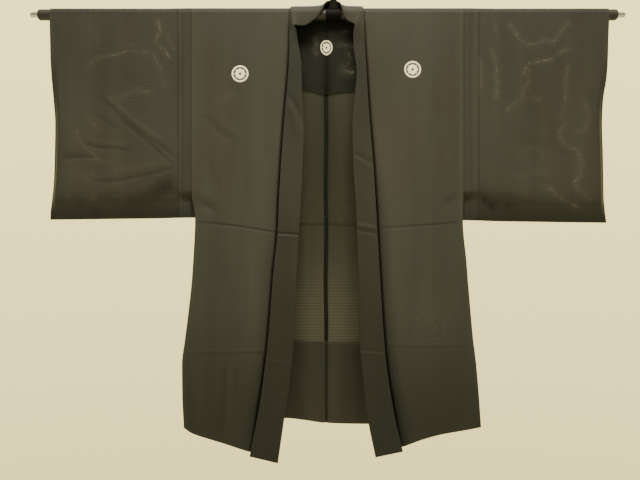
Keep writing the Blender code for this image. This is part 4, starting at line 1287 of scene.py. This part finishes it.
def sleeve_loop(side, levels, t, inside=0.0):
    """Front, top and back of a sleeve, joined over the rod."""
    front, front_flat = sleeve_panel(side, True, levels, t, inside)
    back, back_flat = sleeve_panel(side, False, levels[::-1], t, inside)
    radius = np.hypot(front[-1, :, 1], front[-1, :, 2] + ROD_DROP)
    angles = np.radians(np.linspace(-90, 90, 19)[1:-1])[:, None]
    over = stacked(front[-1, :, 0], radius * np.sin(angles), radius * np.cos(angles) - ROD_DROP)
    over_flat = stacked(front_flat[-1, :, 0], LAYER_RADIUS * angles * MM)
    return np.concatenate((front, over, back)), np.concatenate((front_flat, over_flat, back_flat))


def sleeve_shades(side, points):
    """Attributes of a sleeve's finish, for each of its points."""
    x, drop = x_and_drop(points)
    in_front = points[..., 1] < 0
    fields = [mark_field(marks[side], x, drop) for marks in (SLEEVE_MARKS, SLEEVE_BACK_MARKS)]
    away, strength = (np.where(in_front, *pair) for pair in zip(*fields))
    creased = [crease_shade(creases[side], x, drop) for creases in (SLEEVE_CREASES, SLEEVE_BACK_CREASES)]
    above = reading(SLEEVE_BOTTOM[side], "x", side * x, "drop") - drop
    to_cuff = reading(SLEEVE_OUTER[side], "drop", drop, "x") - side * x
    past_armhole = side * x - ARMHOLE_X[side]
    # Painted shade: darker along the bottom, over the rod and near the top, in the creases and in the
    # fold shadows; 0.14 is the sleeves' own tone
    unfaded = (0.14 + 0.62 * (1 - ease(6, 60, above))
               + 0.45 * (1 - ease(*OVER_ROD, drop))
               + 0.26 * (1 - ease(40, 280, drop))
               + np.where(in_front, *creased))
    for shadow_x, shadow_drop, radius, share in SLEEVE_SHADOWS[side]:
        unfaded = unfaded + share * np.exp(-(np.hypot(x - shadow_x, drop - shadow_drop) / radius) ** 2)
    return {"tide_away": away,
            "tide_strength": strength,
            # Painted shade where the allowance lies behind the cloth
            "lapped_shade": 1 - ease(ALLOWANCE_WIDTH[side] - 3, ALLOWANCE_WIDTH[side], past_armhole),
            "unfaded": np.clip(unfaded, 0.0, 1.0),
            "rows": 0.2,
            "thick": 1 - np.minimum(ease(5, 14, to_cuff), ease(30, 42, above))}


def sleeve_cloth(side, name, finish):
    """One sleeve: cloth folded over the rod and sewn along its bottom and sides."""
    highest = min(SLEEVE_BOTTOM[side]["drop"])
    levels = np.concatenate(((0.0, 0.4, 1.2, 2.4, 4.0, 6.5, 10.0), np.linspace(13, highest, 138)))
    width = SLEEVE_OUTER[side]["x"][0] - ARMHOLE_X[side]
    beside_body = np.arange(0.0, ALLOWANCE_WIDTH[side] + 7, 1.5) / width
    across = graded(92, 0.4)
    across = np.concatenate((beside_body, across[across > beside_body[-1] + 0.003]))
    points, flats = sleeve_loop(side, levels, across[None, :])
    points, flats = points[:-1], flats[:-1]
    mesh = sheet_mesh(name, points, flats, closed=True, **sleeve_shades(side, points))
    return cloth(name, mesh, CLOTH_WALL, finish)


def armhole_allowance(side, name, finish):
    """The cloth pressed back into a sleeve along the armhole, front and back."""
    levels = np.linspace(64, min(SLEEVE_BOTTOM[side]["drop"]), 90)
    share = ALLOWANCE_WIDTH[side] / (SLEEVE_OUTER[side]["x"][0] - ARMHOLE_X[side])
    across = np.linspace(0.002, share, 9)[None, :]
    points, flats = sleeve_loop(side, levels, across, inside=ALLOWANCE_DEPTH)
    # Darkest all over: the allowance's tone, and painted shade inside the sleeve
    mesh = sheet_mesh(name, points, flats, unfaded=1.0)
    return cloth(name, mesh, CLOTH_WALL, finish)


def centre_allowance(name, finish):
    """The two body lengths' edges, pressed to one side down the middle of the back."""
    x = np.linspace(-5.5, 3.5, 7)[None, :]
    s = s_at(np.linspace(*CENTRE_SEAM_DROPS, 180), False)[:, None]
    x = x + 0.8 * np.sin(s / 37.0)
    points = hung(x, s, -ALLOWANCE_DEPTH)
    # Darkest all over: the allowance's tone, and painted shade along the seam it lies in
    mesh = sheet_mesh(name, points, stacked(x, s) * MM, unfaded=1.0)
    return cloth(name, mesh, CLOTH_WALL, finish)


def gusset_cloth(side, name, finish):
    """Long wedge between the front and the back, hanging slightly inwards along its middle."""
    drop = np.linspace(GUSSET_TOP_DROP, GUSSET_BOTTOM_DROP, 110)[:, None]
    across = np.linspace(0.0, 1.0, 17)[None, :]
    side_x = reading(BODY_SIDE[side], "drop", drop, "x")
    front = -(body_depth(side * side_x, drop, True) - 0.4)
    back = body_depth(side * side_x, drop, False) - 0.4
    share = (drop - GUSSET_TOP_DROP) / (GUSSET_BOTTOM_DROP - GUSSET_TOP_DROP)
    inwards = GUSSET_FOLD_IN * share * np.sin(math.pi * across) ** 2
    inwards = inwards + 1.2 * np.sin(drop / 31.0) * np.sin(math.pi * across) * share
    x = side_x - 0.3 - inwards
    y = front + (back - front) * across
    points = stacked(side * x + GARMENT_SHIFT, y, -drop - ROD_DROP)
    flats = stacked(y, QUARTER + drop) * MM
    thick = ease(0.6, 0.85, np.abs(2 * across - 1))
    mesh = sheet_mesh(name, points, flats, rows=0.4, thick=thick)
    return cloth(name, mesh, CLOTH_WALL, finish)


def yoke_cloth(name, finish):
    """Second layer inside the shoulders and the upper back, cut out at the neck."""
    outer_count = 44
    neck = np.append(np.linspace(-1, 1, 31) * NECK_HALF_WIDTH, np.linspace(-9, 9, 13))
    neck = np.unique(neck.round(3))
    neck_count = len(neck) - 1
    wing = NECK_HALF_WIDTH + (YOKE_HALF_WIDTH - NECK_HALF_WIDTH) * graded(outer_count)[1:]
    x = np.concatenate((-wing[::-1], neck, wing))
    nape = np.where(np.abs(x) < NECK_HALF_WIDTH - 0.1, YOKE_NAPE_S, NECK_SEAM_S)
    edge = QUARTER + reading(YOKE_EDGE, "x", x, "drop")
    rows = [(s, YOKE_LIFT) for s in np.linspace(-20.0, 20.0, 17)]
    over = len(rows)
    for share in np.linspace(0.0, 1.0, 46):
        s = nape + (edge - nape) * share
        slack = YOKE_SLACK * ease(QUARTER, QUARTER + 30, s)
        rows.append((s, YOKE_LIFT - slack))
    points = np.array([hung(x, s, lift) for s, lift in rows])
    flats = np.array([stacked(x, s) * MM for s, lift in rows])
    keep = np.ones((len(rows) - 1, len(x) - 1), bool)
    keep[:over, outer_count:outer_count + neck_count] = False
    place_x, place_drop = x_and_drop(points)
    away, strength = mark_field(YOKE_MARKS, place_x, place_drop)
    # Painted shade of the hollow inside the back, darker still along the centre seam
    mesh = sheet_mesh(name, points, flats, keep, tide_away=away, tide_strength=strength,
                      unfaded=0.90 + 0.10 * np.exp(-(place_x / 2.2) ** 2))
    return cloth(name, mesh, CLOTH_WALL, finish)


def band_section(seam, fold, free, bulge):
    """The band's section in cloth coordinates: out from its seam, round the fold, to its free edge."""
    along = (fold - seam) / np.linalg.norm(fold - seam)
    up = np.array((0.0, 0.0, 1.0))
    up = up - along * up.dot(along)
    up /= np.linalg.norm(up)
    centre = fold + (up - along) * BAND_FOLD_RADIUS
    bend = [centre + (along * math.sin(a) - up * math.cos(a)) * BAND_FOLD_RADIUS
            for a in np.radians(np.linspace(0, 180, 9))]

    def layer(start, end, steps, height):
        return [start + (end - start) * k / steps
                + np.array((0, 0, height * math.sin(math.pi * k / steps))) for k in range(steps + 1)]

    under = layer(seam, bend[0], 14, bulge)
    outer = layer(bend[-1], free, 20, 2 * bulge)
    return under[:-1] + bend + outer[1:]


def band_front_stations(side):
    """Sections of the band up one front, from the hem."""
    rows = BAND[side]
    seam_end = float(hem_drop(side, rows["seam"][-1], True))
    fold_ratio = rows["drop"][-1] / seam_end
    stations = []
    for level in LEVELS_DOWN[LEVELS_DOWN >= BAND_TOP_LEVEL][::-1]:
        drop = (seam_end - TURN_UP_RADIUS) * level
        fold_drop = drop * (1 + (fold_ratio - 1) * level)
        free_drop = fold_drop * (1 + (BAND_FREE_RATIO[side] - 1) * level)
        seam = (side * (reading(rows, "drop", drop, "seam") - SEAM_GAP), s_at(drop, True), 0.0)
        fold = (side * reading(rows, "drop", fold_drop, "fold"), s_at(fold_drop, True), 0.0)
        free = (side * reading(rows, "drop", free_drop, "free"), s_at(free_drop, True), BAND_FREE_LIFT)
        stations.append([np.array(p, float) for p in (seam, fold, free)] + [0.0])
    return stations


def band_neck_stations():
    """Sections of the band round the neck, evenly spaced through the rows of NECK_BAND."""
    last = len(NECK_BAND["seam_x"]) - 1
    numbered_rows = dict(NECK_BAND, row=list(range(last + 1)))
    stations = []
    for row in np.linspace(0, last, 150):
        seam_x, seam_s, fold_x, fold_s, fold_lift, free_x, free_s, free_lift = (
            float(reading(numbered_rows, "row", row, column)) for column in NECK_BAND)
        seam = np.array((seam_x, seam_s, BAND_NECK_LIFT))
        fold = np.array((fold_x, fold_s, fold_lift - 2 * BAND_FOLD_RADIUS))
        free = np.array((free_x, free_s, free_lift))
        stations.append([seam, fold, free, BAND_NECK_BULGE])
    return stations


def collar_band(name, finish):
    """The whole band, from the left front's hem round the neck to the right front's hem."""
    stations = (band_front_stations(LEFT) + band_neck_stations()
                + band_front_stations(RIGHT)[::-1])
    coords = np.array([band_section(*station) for station in stations])
    x, s, lift = coords[..., 0], coords[..., 1], coords[..., 2]
    drop = np.maximum(np.abs(s) - QUARTER, 0)
    lift = lift + crease_rise(BAND_CREASES, x, drop) * (s < 0) * ease(60, 110, drop)
    points = hung(x, s, lift)
    middle = points[:, points.shape[1] // 2]
    steps_across = np.linalg.norm(np.diff(points, axis=1), axis=2)
    steps_along = np.linalg.norm(np.diff(middle, axis=0), axis=1)
    across = np.concatenate((np.zeros((len(coords), 1)), np.cumsum(steps_across, axis=1)), axis=1)
    along = np.concatenate(([0.0], np.cumsum(steps_along)))[:, None]
    # Painted shade along the storage crease, added to the band's tone and painted shade at each drop
    pressed = crease_rise(PRESSED_LINES, x, drop) * (s < 0)
    unfaded = reading(BAND_SHADE, "drop", drop, "unfaded") + pressed
    mesh = sheet_mesh(name, points, stacked(across, along) * MM, unfaded=unfaded)
    return cloth(name, mesh, BAND_WALL, finish)


# ---------------------------------------------------------------------------
# Sewing
# ---------------------------------------------------------------------------

def stitch_tree(finish):
    """Node tree that lays short threads along lines, each a little askew, as sewn by hand."""
    tree = bpy.data.node_groups.new("stitches", "GeometryNodeTree")
    face = tree.interface
    face.new_socket("Lines", in_out="INPUT", socket_type="NodeSocketGeometry")
    for name in ("Spacing", "Stitch length", "Thread radius", "Askew"):
        face.new_socket(name, in_out="INPUT", socket_type="NodeSocketFloat")
    face.new_socket("Seed", in_out="INPUT", socket_type="NodeSocketInt")
    face.new_socket("Stitches", in_out="OUTPUT", socket_type="NodeSocketGeometry")
    given = tree.nodes.new("NodeGroupInput").outputs
    lines = add(tree, "GeometryNodeMeshToCurve", [given["Lines"]])
    places = add(tree, "GeometryNodeResampleCurve", {"Curve": lines, "Length": given["Spacing"]},
                 mode="LENGTH")
    thread = add(tree, "GeometryNodeMeshCylinder",
                 {"Vertices": 6, "Radius": given["Thread radius"], "Depth": given["Stitch length"]})
    chance = add(tree, "FunctionNodeRandomValue",
                 {0: (-1, -1, -1), 1: (1, 1, 1), "Seed": given["Seed"]}, data_type="FLOAT_VECTOR")
    sideways = add(tree, "ShaderNodeVectorMath", {0: chance, "Scale": given["Askew"]}, operation="SCALE")
    tangent = add(tree, "GeometryNodeInputTangent")
    heading = add(tree, "ShaderNodeVectorMath", [tangent, sideways], operation="ADD")
    turned = add(tree, "FunctionNodeAlignRotationToVector", {"Vector": heading}, axis="Z")
    laid = add(tree, "GeometryNodeInstanceOnPoints",
               {"Points": places, "Instance": thread, "Rotation": turned})
    real = add(tree, "GeometryNodeRealizeInstances", [laid])
    finished = add(tree, "GeometryNodeSetMaterial", {"Geometry": real, "Material": finish})
    add(tree, "NodeGroupOutput", [finished])
    return tree


def stitches(name, lines, tree, spacing, length):
    """Stitches along lines of points, as a plain mesh. Sizes are in millimetres."""
    ends = np.cumsum([len(line) for line in lines])
    joins = [(i, i + 1) for i in range(ends[-1] - 1) if i + 1 not in ends]
    mesh = bpy.data.meshes.new(name)
    mesh.from_pydata((np.concatenate(lines) * MM).tolist(), joins, [])
    made = link(name, mesh)
    sewing = made.modifiers.new("stitches", "NODES")
    sewing.node_group = tree
    sizes = {"Spacing": spacing * MM, "Stitch length": length * MM,
             "Thread radius": THREAD_RADIUS * MM, "Askew": 0.12, "Seed": 7}
    for socket in tree.interface.items_tree:
        if socket.name in sizes:
            sewing[socket.identifier] = sizes[socket.name]
    sewn = evaluated_mesh(made, name)
    made.modifiers.remove(sewing)
    made.data = sewn
    return made


def seam_lines():
    """Lines of running stitches: armholes, side seams, sleeve bottoms, shut cuffs, centre back."""
    lines = []
    for side in (LEFT, RIGHT):
        end = QUARTER + (ARMHOLE_DROP - 7.0)
        s = np.linspace(-end, end, 330)
        lines.append(hung(side * (ARMHOLE_X[side] - 1.8), s, STITCH_LIFT))
        drop = np.linspace(GUSSET_TOP_DROP + 13.0, GUSSET_BOTTOM_DROP - 12.0, 180)
        beside = side * (reading(BODY_SIDE[side], "drop", drop, "x") - 2.0)
        for front in (True, False):
            lines.append(hung(beside, s_at(drop, front), STITCH_LIFT))
            outwards = np.array((0.0, -STITCH_LIFT if front else STITCH_LIFT, 0.0))
            lowest = sleeve_panel(side, front, [3.0], np.linspace(0.03, 0.985, 120)[None, :])[0]
            lines.append(lowest[0] + outwards)
            levels = np.linspace(*SHUT_CUFF_LEVELS, 90)
            shut = sleeve_panel(side, front, levels, np.array([[0.993]]))[0]
            lines.append(shut[:, 0] + outwards)
    top, bottom = CENTRE_SEAM_DROPS
    s = s_at(np.linspace(top + 2.0, bottom - 2.0, 250), False)
    lines.append(hung(-2.6, s, -ALLOWANCE_DEPTH - STITCH_LIFT))
    return lines


def hem_lines():
    """Lines of blind stitches: tops of the turned-up hems, the yoke's edge and the open cuffs."""
    lines = []
    for side in (LEFT, RIGHT):
        for front in (True, False):
            inner = reading(BAND[side], "drop", 800.0, "free") + 6.0 if front else 5.0
            outer = reading(BODY_SIDE[side], "drop", 780.0, "x") - TURN_UP_INSET - 6.0
            x = np.linspace(inner, outer, 90)
            s = s_at(hem_drop(side, x, front) - TURN_UP_HEIGHT + 3.0, front)
            lift = -beside_band(side, x, 790.0) if front else 0.0
            lines.append(hung(side * x, s, lift + STITCH_LIFT))
            lines.append(hung(side * x, s, lift - 2 * TURN_UP_RADIUS - STITCH_LIFT))
            outwards = np.array((0.0, -STITCH_LIFT if front else STITCH_LIFT, 0.0))
            levels = np.linspace(*OPEN_CUFF_LEVELS, 90)
            cuff = sleeve_panel(side, front, levels, np.array([[0.975]]))[0]
            lines.append(cuff[:, 0] + outwards)
    x = np.linspace(-YOKE_HALF_WIDTH + 4, YOKE_HALF_WIDTH - 4, 200)
    drop = reading(YOKE_EDGE, "x", x, "drop") - 3.0
    lines.append(hung(x, s_at(drop, False), YOKE_LIFT - YOKE_SLACK - STITCH_LIFT))
    return lines


# ---------------------------------------------------------------------------
# The hanger
# ---------------------------------------------------------------------------

def ringed_piece(name, rings, finish, hollow=False, sharp_degrees=35):
    """A piece through rings of points in millimetres. Its ends are closed, unless it is hollow and
    its last ring is joined to its first."""
    bm = bmesh.new()
    rings = [[bm.verts.new(Vector(point) * MM) for point in ring] for ring in rings]
    if hollow:
        rings.append(rings[0])
    else:
        bm.faces.new(rings[0])
        bm.faces.new(rings[-1])
    for first, second in zip(rings, rings[1:]):
        for k in range(len(first)):
            following = (k + 1) % len(first)
            bm.faces.new((first[k], first[following], second[following], second[k]))
    bmesh.ops.recalc_face_normals(bm, faces=bm.faces)
    mesh = bpy.data.meshes.new(name)
    bm.to_mesh(mesh)
    bm.free()
    mesh.shade_smooth()
    mesh.set_sharp_from_angle(angle=math.radians(sharp_degrees))
    mesh.materials.append(finish)
    return link(name, mesh)


def turned_piece(name, outline, finish, hollow=False):
    """A piece turned on the rod's axis, from its outline of (x, radius) pairs."""
    angles = [2 * math.pi * k / TURNED_SEGMENTS for k in range(TURNED_SEGMENTS)]
    rings = [[(x + GARMENT_SHIFT, radius * math.cos(a), radius * math.sin(a) - ROD_DROP) for a in angles]
             for x, radius in outline]
    return ringed_piece(name, rings, finish, hollow)


def rounded_corner(x0, radius0, x1, radius1, x2, radius2, share=0.5):
    """Points of a soft corner at (x1, radius1) between its two neighbours."""
    start = (x1 + (x0 - x1) * share, radius1 + (radius0 - radius1) * share)
    end = (x1 + (x2 - x1) * share, radius1 + (radius2 - radius1) * share)
    points = []
    for t in np.linspace(0, 1, 5):
        a, b, c = (1 - t) ** 2, 2 * t * (1 - t), t * t
        points.append((a * start[0] + b * x1 + c * end[0], a * start[1] + b * radius1 + c * end[1]))
    return points


def hanger_tube(finish):
    """The rod with its bevelled ends."""
    left, right = ROD_ENDS[LEFT], ROD_ENDS[RIGHT]
    end_radius = ROD_RADIUS - ROD_BEVEL
    outline = [(left, end_radius - 1.0), (left + 0.15, end_radius - 0.2),
               (left + 0.5, end_radius + 0.4)]
    outline += rounded_corner(left, end_radius, left + ROD_BEVEL, ROD_RADIUS,
                              left + 2 * ROD_BEVEL, ROD_RADIUS)
    outline += rounded_corner(right - 2 * ROD_BEVEL, ROD_RADIUS,
                              right - ROD_BEVEL, ROD_RADIUS, right, end_radius)
    outline += [(right - 0.5, end_radius + 0.4), (right - 0.15, end_radius - 0.2),
                (right, end_radius - 1.0)]
    return turned_piece("hanger_tube", outline, finish)


def hanger_pin(side, name, finish):
    """A bright pin in the end of the rod, with a groove near its rounded tip."""
    start = ROD_ENDS[side] + side * SEAT_GAP
    end = start + side * PIN_LENGTH
    outline = [(start, PIN_RADIUS), (end - side * 3.2, PIN_RADIUS), (end - side * 3.0, PIN_RADIUS - 0.5),
               (end - side * 2.4, PIN_RADIUS - 0.5), (end - side * 2.2, PIN_RADIUS)]
    outline += rounded_corner(end - side * 2.0, PIN_RADIUS, end, PIN_RADIUS, end, PIN_RADIUS - 2.0, 0.9)
    outline += [(end, PIN_RADIUS - 3.5)]
    return turned_piece(name, outline, finish)


def hanger_saddle(finish):
    """The sleeve round the middle of the rod that carries the hook."""
    inner = ROD_RADIUS + SEAT_GAP
    start = -GARMENT_SHIFT - SADDLE_LENGTH / 2
    end = start + SADDLE_LENGTH
    outline = [(start, inner), (start, SADDLE_RADIUS - 0.4), (start + 0.4, SADDLE_RADIUS),
               (end - 0.4, SADDLE_RADIUS), (end, SADDLE_RADIUS - 0.4), (end, inner)]
    return turned_piece("hanger_saddle", outline, finish, hollow=True)


def hook_path():
    """Centre line and half width of the neck and the hook, from the saddle to the tip."""
    rises = np.linspace(NECK_PROFILE["rise"][0], NECK_PROFILE["rise"][-1], 22)
    halves = reading(NECK_PROFILE, "rise", rises, "half").tolist()
    stations = [(0.0, rise - ROD_DROP, half) for rise, half in zip(rises, halves)]
    radius = HOOK_INNER_RADIUS + HOOK_BAR_HALF
    centre_z = -HOOK_INNER_RADIUS
    first = math.radians(HOOK_START_ANGLE)
    start = Vector(stations[-1][:2])
    end = Vector((radius * math.cos(first), centre_z + radius * math.sin(first)))
    reach = (end - start).length / 2
    controls = (start, start + Vector((0, reach)),
                end + Vector((math.sin(first), -math.cos(first))) * reach, end)
    for t in np.linspace(0, 1, 14)[1:-1]:
        weights = ((1 - t) ** 3, 3 * t * (1 - t) ** 2, 3 * t * t * (1 - t), t ** 3)
        bend = sum((c * w for c, w in zip(controls, weights)), Vector((0, 0)))
        stations.append((bend.x, bend.y, NECK_PROFILE["half"][-1] * (1 - t) + HOOK_BAR_HALF * t))
    for degrees in np.linspace(HOOK_START_ANGLE, HOOK_END_ANGLE, 46):
        a = math.radians(degrees)
        stations.append((radius * math.cos(a), centre_z + radius * math.sin(a), HOOK_BAR_HALF))
    return stations


def hanger_hook(finish):
    """Neck and hook as one bar of rounded rectangular section, with a rounded tip."""
    stations = hook_path()
    last = len(stations) - 1

    def ring(i, shrink, shift):
        """The section at a station, drawn in by shrink and moved along the bar by shift."""
        x, z, half = stations[i]
        before, after = stations[max(i - 1, 0)], stations[min(i + 1, last)]
        along = Vector((after[0] - before[0], 0, after[1] - before[1])).normalized()
        across = Vector((along.z, 0, -along.x))
        points = []
        for k in range(HOOK_SEGMENTS):
            a = 2 * math.pi * k / HOOK_SEGMENTS
            c, s = math.cos(a), math.sin(a)
            w = math.copysign(abs(c) ** HOOK_SQUARENESS, c) * (half - shrink)
            d = math.copysign(abs(s) ** HOOK_SQUARENESS, s) * (HOOK_DEPTH / 2 - shrink)
            points.append(Vector((x, 0, z)) + along * shift + across * w + Vector((0, d, 0)))
        return points

    rings = [ring(i, 0.0, 0.0) for i in range(len(stations))]
    rings += [ring(last, shrink, shift) for shrink, shift in HOOK_TIP]
    return ringed_piece("hanger_hook", rings, finish, sharp_degrees=45)


# ---------------------------------------------------------------------------
# The view
# ---------------------------------------------------------------------------

def floor():
    """A wide pale disc below the jacket, its far edge not far behind it."""
    mesh = bpy.data.meshes.new("floor")
    bm = bmesh.new()
    bmesh.ops.create_circle(bm, cap_ends=True, radius=FLOOR_RADIUS, segments=192)
    bmesh.ops.translate(bm, verts=bm.verts, vec=(0, FLOOR_BACK - FLOOR_RADIUS, -FLOOR_DROP))
    bm.to_mesh(mesh)
    bm.free()
    mesh.materials.append(new_finish("pale floor", "#cdc8ba", 0.9)[0])
    link("floor", mesh)


def room():
    """A pale warm wall behind the jacket, and a dimmer room on the other side."""
    world = bpy.data.worlds.new("room")
    bpy.context.scene.world = world
    world.use_nodes = True
    tree = world.node_tree
    place = add(tree, "ShaderNodeTexCoord", out="Generated")
    parts = add(tree, "ShaderNodeSeparateXYZ", [place]).node.outputs
    height = add(tree, "ShaderNodeMapRange", [parts[2], -0.30, 0.34])
    ahead = add(tree, "ShaderNodeMapRange", [parts[1], 0.1, 0.7])
    below = add(tree, "ShaderNodeMapRange", [parts[2], -0.5, -0.9])
    wall = add(tree, "ShaderNodeMix", {0: height, 6: (*WALL_BELOW, 1), 7: (*WALL_ABOVE, 1)},
               out=2, data_type="RGBA")
    around = add(tree, "ShaderNodeMix", {0: ahead, 6: (*ROOM_BEHIND, 1), 7: wall},
                 out=2, data_type="RGBA")
    colour = add(tree, "ShaderNodeMix", {0: below, 6: around, 7: (*FLOOR_GLOW, 1)},
                 out=2, data_type="RGBA")
    tree.links.new(colour, tree.nodes["Background"].inputs["Color"])


def lamp(name, place, aim, size, power, colour):
    """A soft rectangular light at a place, turned towards an aim. Places and sizes are in metres."""
    light = bpy.data.lights.new(name, "AREA")
    light.shape = "RECTANGLE"
    light.size, light.size_y = size
    light.energy = power
    light.color = linear(colour)[:3]
    made = bpy.data.objects.new(name, light)
    made.location = place
    made.rotation_euler = (Vector(aim) - Vector(place)).to_track_quat("-Z", "Y").to_euler()
    bpy.context.scene.collection.objects.link(made)


def camera():
    """A level camera in front of the jacket."""
    made = bpy.data.cameras.new("camera")
    made.lens_unit = "FOV"
    made.angle = CAMERA_ANGLE
    holder = bpy.data.objects.new("camera", made)
    holder.location = CAMERA_PLACE
    holder.rotation_euler = (math.pi / 2, 0, 0)
    bpy.context.scene.collection.objects.link(holder)
    bpy.context.scene.camera = holder


# ---------------------------------------------------------------------------
# Everything together
# ---------------------------------------------------------------------------

def roundel_place(x, drop, front):
    """A roundel's centre on a piece's flat cloth, in metres."""
    along = QUARTER + drop
    return (abs(x) * MM, (-along if front else along) * MM)


def jacket():
    """Every piece of cloth, each on the one body, and the sewing."""
    sides = {LEFT: "left", RIGHT: "right"}
    for side, word in sides.items():
        finish = gauze(f"black ro gauze, {word} body",
                       roundels=(roundel_place(*FRONT_ROUNDELS[side], True),
                                 (0.0, (QUARTER + NAPE_ROUNDEL_DROP) * MM)))
        made = belongs(body_cloth(side, f"{word}_body_cloth", finish), "silk_gauze", f"body_{word}")
        finish = gauze(f"black ro gauze, {word} sleeve",
                       roundels=(roundel_place(*SLEEVE_ROUNDEL[side], False),))
        made = belongs(sleeve_cloth(side, f"{word}_sleeve_cloth", finish), "silk_gauze", f"sleeve_{word}")
        allowance = belongs(armhole_allowance(side, f"{word}_armhole_allowance", finish), "silk_gauze")
        finish = gauze(f"black ro gauze, {word} gusset")
        made = belongs(gusset_cloth(side, f"{word}_gusset_cloth", finish), "silk_gauze", f"gusset_{word}")
    finish = gauze("black ro gauze, yoke", roundels=((0.0, (QUARTER + NAPE_ROUNDEL_DROP) * MM),),
                   see_through=0.03, gleam=0.5, radius=NAPE_ROUNDEL_RADIUS, squeeze=0.82)
    made = belongs(yoke_cloth("yoke_cloth", finish), "silk_gauze", "yoke")
    finish = gauze("black ro gauze, centre seam")
    belongs(centre_allowance("centre_seam_allowance", finish), "silk_gauze")
    finish = gauze("black ro gauze, collar band", see_through=0.02, gleam=0.9)
    made = belongs(collar_band("collar_band", finish), "silk_gauze", "collar")
    tree = stitch_tree(black_thread())
    belongs(stitches("seam_stitches", seam_lines(), tree, spacing=5.0, length=2.8), "silk_gauze")
    belongs(stitches("hem_stitches", hem_lines(), tree, spacing=14.0, length=1.8), "silk_gauze")


def hanger():
    """The rod, its end pins, and the centre piece with the hook."""
    belongs(hanger_tube(painted_tube()), "painted_tube", "rod")
    steel = plated_steel()
    belongs(hanger_pin(LEFT, "left_end_pin", steel), "plated_steel", "rod_end_left")
    belongs(hanger_pin(RIGHT, "right_end_pin", steel), "plated_steel", "rod_end_right")
    plastic = moulded_plastic()
    belongs(hanger_saddle(plastic), "moulded_plastic", "saddle")
    belongs(hanger_hook(plastic), "moulded_plastic", "hook")


camera()
hanger()
jacket()
floor()
room()
lamp("ceiling light", place=(0.10, -1.6, 2.2), aim=(0.0, 0.0, -0.4), size=(2.2, 1.2),
     power=240.0, colour="#fbf0d6")
lamp("ceiling light behind", place=(-0.10, 2.0, 2.3), aim=(0.0, 0.0, -0.5), size=(2.2, 1.2),
     power=130.0, colour="#d9e4ff")
